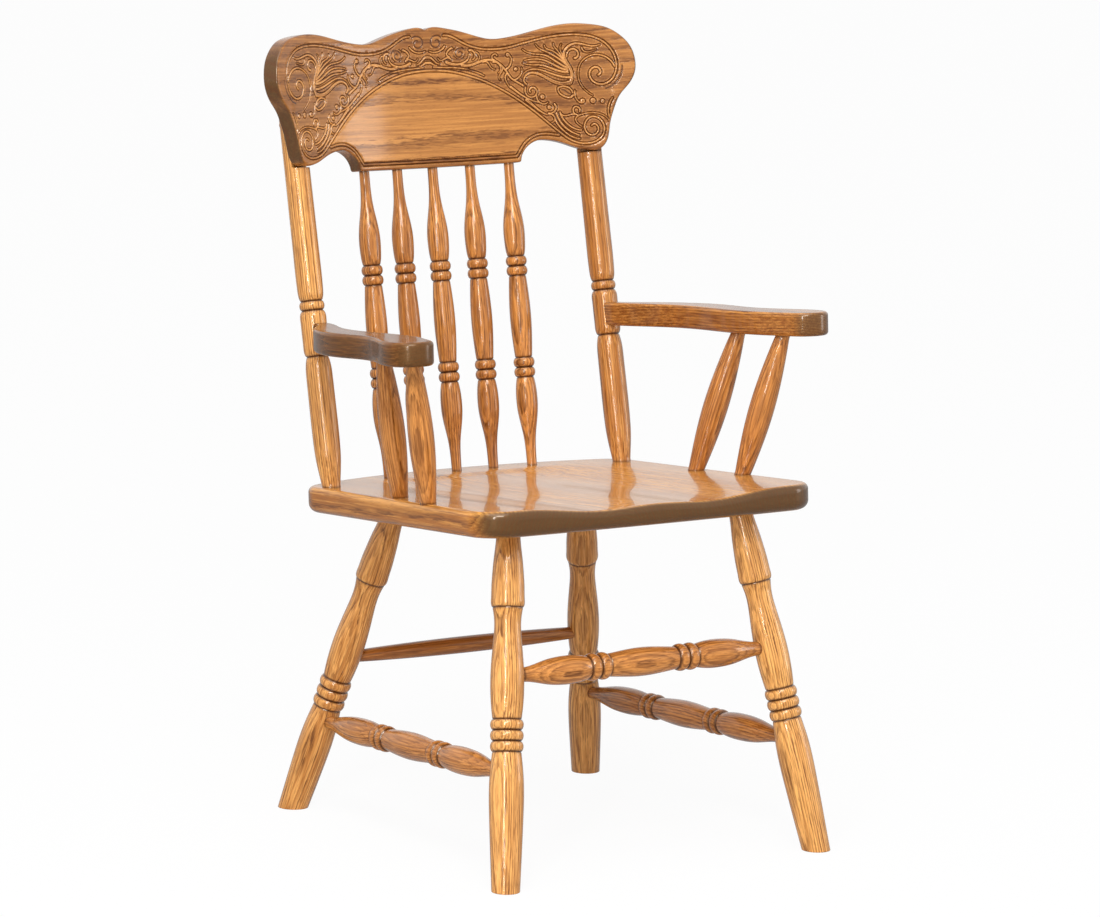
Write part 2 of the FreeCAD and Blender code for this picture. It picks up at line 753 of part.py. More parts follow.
def screw_room(head, inward, length):
    """Countersunk hole for a screw."""
    outline = Turning(screw_head_diameter + 2 * fit, 0)
    outline.line(screw_diameter + 2 * fit, screw_head_length)
    outline.line(screw_diameter + 2 * fit, length - screw_head_length + fit)
    return outline.solid(head, inward)


def plug(head, inward):
    """Wood plug that fills the hole over a screw's head, its edge eased."""
    length = plug_depth + plug_crown
    solid = Part.makeCylinder(plug_diameter / 2, length - fit, V(0, 0, fit))
    solid = solid.makeFillet(plug_crown, edges_at(solid, length))
    solid.Placement = FreeCAD.Placement(head, FreeCAD.Rotation(Z_AXIS, -inward))
    return solid


def plug_room(head, inward):
    """Round hole for a plug, open at the back."""
    return Part.makeCylinder(plug_diameter / 2 + fit, overrun, head, -inward)


def fasteners(side):
    """Screw heads, directions, lengths and plug depths of one side of the back."""
    foot, post_head = post_ends(side)
    up = (post_head - foot).normalize()
    along = side * post_along_crest()
    inward = -crest_backward(along)
    found = []
    for height in crest_screw_heights:
        seat_place = crest_point(along, crest_height * crest_lobe_share + height, crest_thickness)
        axis_place = post_head + up * height
        behind = (axis_place - seat_place).dot(-inward) + post_head_diameter / 2
        found.append((seat_place - inward * (behind - plug_depth), inward, crest_screw_length))
    middle = arm_point(side, 0, 0, arm_thickness / 2)
    forward = V(side * arm_screw_share, -1, 0)
    forward = arm_frame(side).Rotation.multVec(forward).normalize()
    head = middle - forward * (post_block_diameter / 2 - plug_depth)
    found.append((head, forward, arm_screw_length))
    return found


def make_back():
    """Posts, spindles, crest rail, arms and fasteners. Returns the holes for the seat."""
    seat_bores = []
    crest_bores = []
    half = spindle_count // 2
    for index in range(-half, half + 1):
        foot = spindle_foot(index)
        head = crest_point(spindle_top_pitch * index, 0, crest_thickness / 2)
        in_seat, in_crest = make_spindle("spindle_%d" % (index + half + 1), foot, head)
        seat_bores.append(in_seat)
        crest_bores.append(in_crest)
    for side, name in ((-1, "left"), (1, "right")):
        arm_bores = []
        for index in range(len(arm_spindle_from_front)):
            in_seat, in_arm = make_arm_spindle(side, index)
            seat_bores.append(in_seat)
            arm_bores.append(in_arm)
        screws = []
        plugs = []
        rooms = []
        for head, inward, length in fasteners(side):
            screws.append(screw(head, inward, length))
            plugs.append(plug(head, inward))
            rooms.append(screw_room(head, inward, length))
            rooms.append(plug_room(head, inward))
        keep("screws_" + name, Part.makeCompound(screws))
        keep("plugs_" + name, Part.makeCompound(plugs))
        crest_bores.extend(rooms[:-2])
        make_arm(side, arm_bores + rooms[-2:])
        seat_bores.append(make_post(side, rooms))
    make_crest(crest_bores)
    return seat_bores


make_seat(make_underframe() + make_back())

for node, piece in nodes.items():
    piece.exportStep("parts/%s.step" % node)
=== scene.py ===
"""Looks of the press back armchair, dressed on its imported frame.

The chair faces -Y, left and right are as seen from the front, and the floor is z = 0.
Sizes are in millimetres, and finished meshes and the scene are in metres.
"""

import json
import logging
import math
from collections.abc import Callable, Iterable
from dataclasses import dataclass
from enum import Enum

import bpy
import numpy as np
from bpy.types import ID, Material, Mesh, Node, NodeSocket, Object, World
from mathutils import Matrix, Vector
from mathutils.geometry import delaunay_2d_cdt

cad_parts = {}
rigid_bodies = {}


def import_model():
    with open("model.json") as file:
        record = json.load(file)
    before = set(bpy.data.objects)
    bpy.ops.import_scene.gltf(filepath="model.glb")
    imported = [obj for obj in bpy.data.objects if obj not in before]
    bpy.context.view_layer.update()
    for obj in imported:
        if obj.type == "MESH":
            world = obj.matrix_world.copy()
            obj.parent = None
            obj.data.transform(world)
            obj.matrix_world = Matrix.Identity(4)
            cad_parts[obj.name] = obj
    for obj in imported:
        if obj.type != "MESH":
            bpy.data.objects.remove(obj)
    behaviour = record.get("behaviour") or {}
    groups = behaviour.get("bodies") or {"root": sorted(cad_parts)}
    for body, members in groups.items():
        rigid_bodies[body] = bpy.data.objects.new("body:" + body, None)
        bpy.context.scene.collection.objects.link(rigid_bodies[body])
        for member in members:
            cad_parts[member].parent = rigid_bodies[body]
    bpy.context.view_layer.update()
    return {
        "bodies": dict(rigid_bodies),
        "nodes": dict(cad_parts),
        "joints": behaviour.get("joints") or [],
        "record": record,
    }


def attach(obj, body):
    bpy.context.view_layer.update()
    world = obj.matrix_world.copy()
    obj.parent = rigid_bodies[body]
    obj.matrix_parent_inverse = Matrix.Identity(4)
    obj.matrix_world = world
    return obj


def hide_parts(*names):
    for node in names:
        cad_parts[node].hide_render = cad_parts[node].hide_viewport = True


MM = 0.001
GRAIN_PLACE = "grain_place"  # a point's place in its board, in metres, grain along Z
END_GRAIN = "end_grain"  # how squarely the surface cuts across the grain
CARVED = "carved"  # how deep a point lies in the carving, as a share of stain, below 0 where stain is rubbed off and a highlight is painted
PIECE_TONE_AND_SHADE = "piece_tone_and_shade"  # how dark the piece's wood is among its fellows, and the painted shade on the sides of seat and arms and on the back stretcher
RADIUS = "turned_radius"  # radius that a point of a turning's axis carries
JOINT_STAIN = 0.85  # stain gathered in a joint
JOINT_REACH = 1.8  # how far it reaches from the joint
log = logging.getLogger("armchair")

Array = np.ndarray
Spot = tuple[float, float, float]
Colour = tuple[float, float, float, float]
Pair = tuple[float, float]
Shares = tuple[Pair, ...]
Faces = list[tuple[int, ...]]
Choice = Callable[[Array, Array], Array]
Input = float | Spot | Colour | NodeSocket


class Side(Enum):
    """The two sides of the chair, as seen from the front."""

    LEFT = -1
    RIGHT = 1

    @property
    def word(self) -> str:
        """The side's name inside piece names."""
        return self.name.lower()


class Mark(Enum):
    """The two kinds of stroke that make the carving."""

    RAISED = "raised"
    VEIN = "vein"


# Curves and frames


def end_slope(knots: Array, points: Array) -> Array:
    """Slope at the first of four points of the cubic through them.

    Args:
        knots: the four parameters.
        points: the four points, one a row.

    Returns:
        The slope at the first point.
    """
    slope = points[0] * sum(1.0 / (knots[0] - other) for other in knots[1:])
    for j in range(1, 4):
        rest = [k for k in range(4) if k not in (0, j)]
        above = math.prod(knots[0] - knots[k] for k in rest)
        below = math.prod(knots[j] - knots[k] for k in range(4) if k != j)
        slope = slope + points[j] * above / below
    return slope


def smooth_curve(points: Array, step: float) -> Array:
    """Points along the smooth curve through the given ones.

    Args:
        points: places that the curve passes through, four at least, one a row.
        step: greatest distance along the curve between two results.

    Returns:
        Points along the curve, both ends included.
    """
    points = np.asarray(points, float)
    gaps = np.linalg.norm(np.diff(points, axis=0), axis=1)
    knots = np.concatenate([[0.0], np.cumsum(gaps)])
    count = len(points)
    matrix = np.eye(count)
    right = np.zeros_like(points)
    right[0] = end_slope(knots[:4], points[:4])
    right[-1] = end_slope(knots[:-5:-1], points[:-5:-1])
    for i in range(1, count - 1):
        before, after = gaps[i - 1], gaps[i]
        matrix[i, i - 1:i + 2] = after, 2 * (before + after), before
        right[i] = 3 * (
            after * (points[i] - points[i - 1]) / before
            + before * (points[i + 1] - points[i]) / after
        )
    slopes = np.linalg.solve(matrix, right)
    found = [points[:1]]
    for i, gap in enumerate(gaps):
        t = np.linspace(0, 1, max(1, math.ceil(gap / step)) + 1)[1:, None]
        found.append(
            (2 * t ** 3 - 3 * t ** 2 + 1) * points[i]
            + (t ** 3 - 2 * t ** 2 + t) * gap * slopes[i]
            + (3 * t ** 2 - 2 * t ** 3) * points[i + 1]
            + (t ** 3 - t ** 2) * gap * slopes[i + 1]
        )
    return np.concatenate(found)


def ease(value: Array) -> Array:
    """Smooth step from 0 at 0 to 1 at 1."""
    value = np.clip(value, 0, 1)
    return value * value * (3 - 2 * value)


@dataclass(frozen=True)
class Frame:
    """Place that pieces are measured from, tipped back about X."""

    origin: Spot
    lean: float

    def turn(self) -> Array:
        """Matrix from the frame's directions to the chair's."""
        c, s = math.cos(math.radians(self.lean)), math.sin(math.radians(self.lean))
        return np.array([[1, 0, 0], [0, c, s], [0, -s, c]])

    def out(self, points: Array) -> Array:
        """Points of the frame in the chair's own frame."""
        return np.asarray(points, float) @ self.turn().T + np.array(self.origin)

    def into(self, points: Array) -> Array:
        """Points of the chair in this frame."""
        return (np.asarray(points, float) - np.array(self.origin)) @ self.turn()


# Meshes


def stand(name: str, data: ID) -> Object:
    """Puts something new in the scene.

    Args:
        name: its name.
        data: its mesh, light or camera.

    Returns:
        The object.
    """
    thing = bpy.data.objects.new(name, data)
    bpy.context.scene.collection.objects.link(thing)
    return thing


@dataclass
class Shape:
    """Mesh of one piece before it is dressed, in millimetres.

    Its places are those of its points in their board, and its grain is the way the board's
    fibres run. End grain shows from one share of squareness on, in full further over, and
    edges above the crease, in degrees, are drawn sharp.
    """

    points: Array
    faces: Faces
    places: Array
    grain: Array
    carved: Array | None = None
    tone: float | Array = 0.0
    end_from: float = 0.35
    end_over: float = 0.55
    crease: float = 35.0

    def make(self, name: str, finish: Material) -> Object:
        """Builds the object, with the attributes that the oak reads.

        Args:
            name: name of the piece.
            finish: its material.

        Returns:
            The new object, at the origin.
        """
        mesh = bpy.data.meshes.new(name)
        mesh.from_pydata((self.points * MM).tolist(), [], self.faces)
        mesh.validate()
        mesh.shade_smooth()
        mesh.set_sharp_from_angle(angle=math.radians(self.crease))
        mesh.materials.append(finish)
        place = mesh.attributes.new(GRAIN_PLACE, "FLOAT_VECTOR", "POINT")
        place.data.foreach_set("vector", (self.places * MM).astype(np.float32).ravel())
        normals = np.empty(len(mesh.vertices) * 3, np.float32)
        mesh.vertex_normals.foreach_get("vector", normals)
        facing = np.abs((normals.reshape(-1, 3) * self.grain).sum(axis=1))
        write_values(mesh, END_GRAIN, ease((facing - self.end_from) / self.end_over))
        write_values(mesh, PIECE_TONE_AND_SHADE, np.broadcast_to(self.tone, len(mesh.vertices)))
        if self.carved is not None:
            write_values(mesh, CARVED, self.carved)
        return stand(name, mesh)

    def darken(self, away: Array) -> None:
        """Gathers stain along a joint, given each point's distance from it."""
        self.carved = np.maximum(self.carved, JOINT_STAIN * np.exp(-(away / JOINT_REACH) ** 2))


def write_values(mesh: Mesh, name: str, values: Array) -> None:
    """Stores one number for each vertex under a name."""
    attribute = mesh.attributes.new(name, "FLOAT", "POINT")
    attribute.data.foreach_set("value", np.ascontiguousarray(values, np.float32))


def dress(piece: Object, slot: str, *nodes: str) -> None:
    """Hands a finished piece to the frame in place of the nodes it stands for.

    Args:
        piece: the piece.
        slot: material slot of the record that its finish comes from; not used.
        nodes: the nodes.
    """
    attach(piece, "root")
    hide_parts(*nodes)
    log.info("%s: %d faces", piece.name, len(piece.data.polygons))


# Turned pieces

TREE_WIDTH = 60  # how far the pieces lie apart across the tree they are cut from
TREE_DEPTH = 40  # and outward
TREE_HEART = 38  # least distance from its heart
TREE_STEP = 211.0  # from one piece to the next along it
TREE_SHARES = (0.618, 0.414)  # shares of both, from one piece to the next
TWIST = 2.4  # turn of one piece's grain against the last, in radians
TONE_STEP = 0.382  # how much darker it is than the last, as a share
STRAIGHT_STEP = 4.0  # distance between an outline's rows where it is straight
CURVE_STEP = 1.6  # and where it swells
LEAST_STEP = 0.12  # and at least
BEAD_ROWS = 17  # rows over a bead
CUT_DEPTH = 0.55  # depth of a scored line
CUT_WIDTH = 0.8  # its half width
CUT_ROWS = (-1.6, -1, -0.5, 0, 0.5, 1, 1.6)  # rows over a scored line, in half widths
CUT_STAIN_WIDTH = 1.5  # half width of the stain in it
JOINT_ROWS = range(-9, 10)  # rows on both sides of a joint


def tree_place(index: int) -> Array:
    """Place of a piece in the tree it was cut from, different for each piece."""
    across, out = ((index * share) % 1 for share in TREE_SHARES)
    return np.array([TREE_WIDTH * across - TREE_WIDTH / 2, TREE_HEART + TREE_DEPTH * out, TREE_STEP * index])


class TurningTree:
    """Geometry Nodes group that turns a half outline round its axis.

    The outline comes in as a chain of vertices on the Z axis that carry their radius.
    """

    def __init__(self) -> None:
        """Builds the node group."""
        tree = bpy.data.node_groups.new("oak_turning", "GeometryNodeTree")
        face = tree.interface
        face.new_socket("Geometry", in_out="INPUT", socket_type="NodeSocketGeometry")
        facets = face.new_socket("Facets", in_out="INPUT", socket_type="NodeSocketInt")
        finish = face.new_socket("Finish", in_out="INPUT", socket_type="NodeSocketMaterial")
        face.new_socket("Geometry", in_out="OUTPUT", socket_type="NodeSocketGeometry")
        self.tree = tree
        self.facets = facets.identifier
        self.finish = finish.identifier
        given = tree.nodes.new("NodeGroupInput")
        axis, circle, radius, turned, real, painted = (
            tree.nodes.new("GeometryNode" + kind) for kind in (
                "MeshToCurve", "CurvePrimitiveCircle", "InputNamedAttribute", "CurveToMesh",
                "RealizeInstances", "SetMaterial",
            )
        )
        result = tree.nodes.new("NodeGroupOutput")
        circle.inputs["Radius"].default_value = 1.0
        radius.data_type = "FLOAT"
        radius.inputs["Name"].default_value = RADIUS
        turned.inputs["Fill Caps"].default_value = True
        for source, name, target, into in (
            (given, "Geometry", axis, "Mesh"), (given, "Facets", circle, "Resolution"),
            (axis, "Curve", turned, "Curve"), (circle, "Curve", turned, "Profile Curve"),
            (radius, "Attribute", turned, "Scale"), (turned, "Mesh", real, "Geometry"),
            (real, "Geometry", painted, "Geometry"), (given, "Finish", painted, "Material"),
            (painted, "Geometry", result, "Geometry"),
        ):
            tree.links.new(source.outputs[name], target.inputs[into])

    def turn(self, outline: Array, finish: Material, facets: int) -> Mesh:
        """Turns one outline.

        Args:
            outline: rows of place along the axis and radius, in millimetres.
            finish: material of the turned mesh.
            facets: flats round the piece.

        Returns:
            A plain mesh in metres, standing on the Z axis.
        """
        chain = bpy.data.meshes.new("turning_axis")
        points = [(0.0, 0.0, place * MM) for place, _ in outline]
        chain.from_pydata(points, [(i, i + 1) for i in range(len(points) - 1)], [])
        write_values(chain, RADIUS, outline[:, 1] * MM)
        carrier = stand("turning_axis", chain)
        modifier = carrier.modifiers.new("turning", "NODES")
        modifier.node_group = self.tree
        modifier[self.facets] = facets
        modifier[self.finish] = finish
        evaluated = carrier.evaluated_get(bpy.context.evaluated_depsgraph_get())
        mesh = bpy.data.meshes.new_from_object(evaluated)
        carrier.modifiers.remove(modifier)
        bpy.data.objects.remove(carrier)
        bpy.data.meshes.remove(chain)
        return mesh


@dataclass(frozen=True)
class BeadedSizes:
    """Diameters of a piece with two pairs of beads, and the width of one bead."""

    end: float
    swell: float
    barrel: float
    neck: float
    bead: float
    bead_width: float


class Outline:
    """Half outline of a turned piece, drawn from one end of its axis to the other."""

    def __init__(self, diameter: float, start: float) -> None:
        """Starts the outline.

        Args:
            diameter: diameter at the first end.
            start: place of that end along the axis.
        """
        self.rows: list[Array] = [np.array([[start, diameter / 2]])]
        self.cuts: list[float] = []
        self.joints: list[float] = []

    @property
    def tip(self) -> Array:
        """Place and radius reached so far."""
        return self.rows[-1][-1]

    def cut(self) -> None:
        """Scores a line round the piece at the place reached."""
        self.cuts.append(float(self.tip[0]))

    def line(self, diameter: float, length: float) -> None:
        """Adds a straight or tapered stretch.

        Args:
            diameter: diameter at its end.
            length: its length.
        """
        steps = np.linspace(0, 1, max(1, math.ceil(length / STRAIGHT_STEP)) + 1)[1:, None]
        end = np.array([self.tip[0] + length, diameter / 2])
        self.rows.append(self.tip + steps * (end - self.tip))

    def swell(self, shares: Shares, smaller: float, larger: float, end: float, length: float) -> None:
        """Adds a smooth stretch.

        Args:
            shares: places along it and sizes between the two diameters, as shares.
            smaller: diameter at size 0.
            larger: diameter at size 1.
            end: diameter at its end.
            length: its length.
        """
        points = [self.tip]
        for place, size in shares:
            points.append(np.array([
                self.tip[0] + length * place, (smaller + (larger - smaller) * size) / 2
            ]))
        points.append(np.array([self.tip[0] + length, end / 2]))
        self.rows.append(smooth_curve(np.array(points), CURVE_STEP)[1:])

    def beads(self, diameter: float, neck: float, width: float, count: int) -> None:
        """Adds a row of half round beads, neck to neck.

        Args:
            diameter: their diameter.
            neck: diameter between them.
            width: width of one.
            count: how many.
        """
        self.cut()
        for _ in range(count):
            self.arc(diameter, neck, width, BEAD_ROWS)
            self.cut()

    def arc(self, diameter: float, neck: float, length: float, rows: int) -> None:
        """Adds a stretch that swells from a neck and back to it, on one arc.

        Args:
            diameter: diameter at its middle.
            neck: diameter at its ends.
            length: its length.
            rows: rows over it.
        """
        rise = (diameter - neck) / 2
        bend = (rise ** 2 + (length / 2) ** 2) / (2 * rise)
        place = np.linspace(-length / 2, length / 2, rows)[1:]
        radius = diameter / 2 - bend + np.sqrt(bend ** 2 - place ** 2)
        self.rows.append(np.column_stack([self.tip[0] + length / 2 + place, radius]))

    def beaded(self, sizes: BeadedSizes, shares: tuple[Shares, ...], lengths: Spot, end: float) -> None:
        """Adds a whole stretcher or spindle, three swells with a pair of beads between two.

        Args:
            sizes: its diameters.
            shares: places and sizes of the three swells, as shares.
            lengths: their lengths.
            end: length of the plain stretch at either end.
        """
        first, barrel, last = zip(shares, lengths)
        self.line(sizes.end, end)
        self.swell(first[0], sizes.end, sizes.swell, sizes.neck, first[1])
        self.beads(sizes.bead, sizes.neck, sizes.bead_width, 2)
        self.swell(barrel[0], sizes.neck, sizes.barrel, sizes.neck, barrel[1])
        self.beads(sizes.bead, sizes.neck, sizes.bead_width, 2)
        self.swell(last[0], sizes.end, sizes.swell, sizes.end, last[1])
        self.line(sizes.end, end)

    def scored(self, places: Array, width: float) -> Array:
        """Share of the nearest scored line at places along the axis.

        Args:
            places: the places.
            width: how far such a line reaches.

        Returns:
            1 on a line, falling to 0 beside it.
        """
        share = np.zeros(len(places))
        for cut in self.cuts:
            share = np.maximum(share, np.exp(-((places - cut) / width) ** 2))
        return share

    def done(self) -> Array:
        """Cuts the scored lines in.

        Returns:
            All rows of place and radius, closer together at scored lines and joints.
        """
        rows = np.concatenate(self.rows)
        extra = [cut + CUT_WIDTH * share for cut in self.cuts for share in CUT_ROWS]
        extra += [joint + step for joint in self.joints for step in JOINT_ROWS]
        extra = [place for place in extra if rows[0, 0] < place < rows[-1, 0]]
        places = np.sort(np.concatenate([rows[:, 0], extra]))
        places = places[np.concatenate([[True], np.diff(places) > LEAST_STEP])]
        places[-1] = rows[-1, 0]
        radius = np.interp(places, rows[:, 0], rows[:, 1])
        return np.column_stack([places, radius - CUT_DEPTH * self.scored(places, CUT_WIDTH)])


@dataclass
class Lathe:
    """Makes turned pieces of one finish and stands them on their axes.

    It counts its pieces, and the number of each sets the wood that it is cut from.
    """

    tree: TurningTree
    finish: Material
    count: int

    def piece(self, outline: Outline, start: Array, end: Array, facets: int = 56) -> Shape:
        """Turns an outline and stands it on an axis.

        Args:
            outline: the half outline, its zero at the start of the axis.
            start: point of the axis where the outline's zero stands.
            end: a further point of the axis.
            facets: flats round the piece.

        Returns:
            The piece in the chair's frame.
        """
        mesh = self.tree.turn(outline.done(), self.finish, facets)
        flat = np.empty(len(mesh.vertices) * 3, np.float32)
        mesh.vertices.foreach_get("co", flat)
        local = flat.reshape(-1, 3).astype(float) / MM
        faces = [tuple(face.vertices) for face in mesh.polygons]
        bpy.data.meshes.remove(mesh)
        axis = (end - start) / np.linalg.norm(end - start)
        turn = np.array(Vector(axis).to_track_quat("Z", "Y").to_matrix())
        self.count += 1
        twist = TWIST * self.count
        spin = np.array([
            [math.cos(twist), -math.sin(twist), 0], [math.sin(twist), math.cos(twist), 0], [0, 0, 1]
        ])
        return Shape(
            points=local @ turn.T + start,
            faces=outward(local, faces),
            places=local @ spin.T + tree_place(self.count),
            grain=axis,
            carved=outline.scored(local[:, 2], CUT_STAIN_WIDTH),
            tone=(self.count * TONE_STEP) % 1,
        )

    def hand_over(self, shape: Shape, node: str) -> None:
        """Dresses a turned piece in place of its node."""
        dress(shape.make(f"turned_{node}", self.finish), "oak_turned", node)


def outward(points: Array, faces: Faces) -> Faces:
    """Turns the faces of a closed mesh over if they look inward.

    Args:
        points: its points.
        faces: its faces, which all look the same way.

    Returns:
        The faces, looking outward.
    """
    middle = points.mean(axis=0)
    volume = 0.0
    for face in faces:
        a, b, c = (points[i] - middle for i in face[:3])
        volume += float(np.dot(a, np.cross(b, c))) * (len(face) - 2)
    if volume > 0:
        return faces
    return [face[::-1] for face in faces]


# Boards with a free outline

CLOSE = 0.05  # corners nearer than this are one
SHARP = 0.8  # cosine of the turn above which a corner is sharp
ARC_POINTS = 25  # points on a rounded corner
ROW_NUDGE = 0.0037  # keeps grid rows off the corners of an outline, in spacings


def inset(outline: Array, distance: float) -> Array:
    """A counterclockwise outline moved inward.

    Args:
        outline: closed outline, one corner a row, the first not repeated.
        distance: how far it moves.

    Returns:
        As many corners, further in.
    """
    before = outline - np.roll(outline, 1, axis=0)
    after = np.roll(outline, -1, axis=0) - outline
    before /= np.linalg.norm(before, axis=1)[:, None]
    after /= np.linalg.norm(after, axis=1)[:, None]
    normal = np.column_stack([-(before + after)[:, 1], (before + after)[:, 0]])
    normal /= np.linalg.norm(normal, axis=1)[:, None]
    square = np.clip(normal[:, 0] * -before[:, 1] + normal[:, 1] * before[:, 0], 0.5, 1)
    return outline + normal * (distance / square)[:, None]


def points_inside(outline: Array, spacing: float, keep: Choice | None) -> Array:
    """Grid points inside an outline.

    Args:
        outline: closed outline.
        spacing: distance between grid lines.
        keep: says of grid steps and points which stay, or None for all.

    Returns:
        The points, one a row.
    """
    low, high = outline.min(axis=0), outline.max(axis=0)
    columns = np.arange(math.floor(low[0] / spacing), math.ceil(high[0] / spacing) + 1)
    rows = np.arange(math.floor(low[1] / spacing), math.ceil(high[1] / spacing) + 1)
    ends = np.roll(outline, -1, axis=0)
    found = []
    for row in rows:
        level = (row + ROW_NUDGE) * spacing
        cut = (outline[:, 1] > level) != (ends[:, 1] > level)
        share = (level - outline[cut, 1]) / (ends[cut, 1] - outline[cut, 1])
        crossings = np.sort(outline[cut, 0] + share * (ends[cut, 0] - outline[cut, 0]))
        within = np.searchsorted(crossings, columns * spacing) % 2 == 1
        chosen = columns[within]
        found.append(np.column_stack([chosen, np.full(len(chosen), row)]))
    steps = np.concatenate(found)
    if keep is not None:
        steps = steps[keep(steps, steps * spacing)]
    return steps * spacing


@dataclass
class Board:
    """Board sawn to an outline, with both arrises rounded over.

    Its points are (across, along, height), the flat top is at height 0 and the underside
    at minus the thickness. The grid that fills its top may be closer than the other.
    """

    outline: Array
    thickness: float
    top_round: float
    bottom_round: float
    spacing: float
    top_spacing: float
    keep: Choice | None = None
    arris_rings: int = 7
    edge_rings: int = 5
    rim_gap_share: float = 0.55

    def rings(self) -> list[Array]:
        """Lays rings of points over the edge.

        Returns:
            The rings, from the top's rim to the rim of the underside.
        """
        rings = []
        for angle in np.linspace(0, math.pi / 2, self.arris_rings):
            away = self.top_round * (1 - math.sin(angle))
            rings.append((away, -self.top_round * (1 - math.cos(angle))))
        upper, lower = -self.top_round, self.bottom_round - self.thickness
        for share in np.linspace(0, 1, self.edge_rings)[1:-1]:
            rings.append((0.0, upper + share * (lower - upper)))
        for angle in np.linspace(math.pi / 2, 0, self.arris_rings):
            away = self.bottom_round * (1 - math.sin(angle))
            rings.append((away, -self.thickness + self.bottom_round * (1 - math.cos(angle))))
        full = []
        for away, height in rings:
            ring = inset(self.outline, away) if away > 1e-6 else self.outline
            full.append(np.column_stack([ring, np.full(len(ring), height)]))
        return full

    def sheet(self, rim: Array, spacing: float, keep: Choice | None) -> tuple[Array, Faces]:
        """Triangles that fill a rim.

        Args:
            rim: closed outline, whose points stay first in the result.
            spacing: distance between the points inside.
            keep: choice among those points, or None.

        Returns:
            All points, and triangles that look up.
        """
        inner = points_inside(inset(rim, self.rim_gap_share * spacing), spacing, keep)
        points = np.concatenate([rim, inner])
        flat = [Vector(point) for point in points]
        count = len(rim)
        edges = [(i, (i + 1) % count) for i in range(count)]
        _, _, faces, origins, _, _ = delaunay_2d_cdt(flat, edges, [], 1, 1e-7)
        number = [found[0] if found else -1 for found in origins]
        kept = []
        for face in faces:
            a, b, c = (number[i] for i in face)
            if min(a, b, c) < 0 or a == b or b == c or a == c:
                continue
            first, second, third = points[a], points[b], points[c]
            area = np.cross(second - first, third - first)
            kept.append((a, b, c) if area > 0 else (a, c, b))
        return points, kept

    def build(self) -> tuple[Array, Faces]:
        """Builds the closed board.

        Returns:
            Its points and its faces, which look outward.
        """
        rings = self.rings()
        count = len(self.outline)
        points = [np.concatenate(rings)]
        faces: Faces = []
        following = [(i + 1) % count for i in range(count)]
        for level in range(len(rings) - 1):
            a, b = level * count, (level + 1) * count
            faces.extend((a + i, b + i, b + j, a + j) for i, j in enumerate(following))
        total = len(points[0])
        for is_top, first in ((True, 0), (False, (len(rings) - 1) * count)):
            rim = rings[0] if is_top else rings[-1]
            spacing = self.top_spacing if is_top else self.spacing
            flat, triangles = self.sheet(rim[:, :2], spacing, self.keep if is_top else None)
            inner = flat[count:]
            points.append(np.column_stack([inner, np.full(len(inner), rim[0, 2])]))
            number = [*range(first, first + count), *range(total, total + len(inner))]
            for a, b, c in triangles:
                face = (a, b, c) if is_top else (a, c, b)
                faces.append(tuple(number[i] for i in face))
            total += len(inner)
        return np.concatenate(points), faces


def rounded_corner(before: Array, corner: Array, after: Array, radius: float) -> Array:
    """Arc that rounds a corner between two straight lines.

    Args:
        before: a point on the first line.
        corner: where the lines meet.
        after: a point on the second line.
        radius: radius of the arc.

    Returns:
        Points along the arc.
    """
    into = (before - corner) / np.linalg.norm(before - corner)
    away = (after - corner) / np.linalg.norm(after - corner)
    half = math.acos(float(np.clip(np.dot(into, away), -1, 1))) / 2
    middle = (into + away) / np.linalg.norm(into + away)
    centre = corner + middle * radius / math.sin(half)
    start = corner + into * radius / math.tan(half) - centre
    finish = corner + away * radius / math.tan(half) - centre
    first = math.atan2(start[1], start[0])
    swing = (math.atan2(finish[1], finish[0]) - first + math.pi) % (2 * math.pi) - math.pi
    angles = first + np.linspace(0, swing, ARC_POINTS)
    return centre + radius * np.column_stack([np.cos(angles), np.sin(angles)])


def bow(start: Array, middle: Array, end: Array, step: float) -> Array:
    """Arc through three points.

    Args:
        start: its start.
        middle: its middle.
        end: its end.
        step: greatest distance between two results.

    Returns:
        Points on the arc, both ends included.
    """
    chord = end - start
    rise = abs(float(np.cross(chord, middle - start))) / np.linalg.norm(chord)
    half = np.linalg.norm(chord) / 2
    radius = (half ** 2 + rise ** 2) / (2 * rise)
    foot = (start + end) / 2
    up = (middle - foot) / np.linalg.norm(middle - foot)
    centre = middle - up * radius
    reach = math.asin(min(1.0, half / radius))
    along = chord / (2 * half)
    angles = np.linspace(-reach, reach, max(8, math.ceil(2 * reach * radius / step)))
    return centre + radius * (np.sin(angles)[:, None] * along + np.cos(angles)[:, None] * up)


def tidy_loop(points: Array, clear: float = 0.0) -> Array:
    """Makes an outline counterclockwise and free of repeated points.

    Args:
        points: the closed outline.
        clear: room that a sharp corner is given on both sides.

    Returns:
        The outline.
    """
    gaps = np.linalg.norm(points - np.roll(points, 1, axis=0), axis=1)
    points = points[gaps > CLOSE]
    before = points - np.roll(points, 1, axis=0)
    after = np.roll(before, -1, axis=0)
    lengths = np.linalg.norm(before, axis=1) * np.linalg.norm(after, axis=1)
    kept = np.ones(len(points), bool)
    for i in np.flatnonzero((before * after).sum(axis=1) < SHARP * lengths):
        close = np.linalg.norm(points - points[i], axis=1) < clear
        close[i] = False
        kept &= ~close
    points = points[kept]
    ends = np.roll(points, -1, axis=0)
    area = (points[:, 0] * ends[:, 1] - ends[:, 0] * points[:, 1]).sum()
    return points if area > 0 else points[::-1]


# Finishes


MIX_FACTOR, MIX_FIRST, MIX_SECOND = 0, 6, 7  # inputs of a Mix node that blends colours
MIX_COLOUR = 2  # and its output


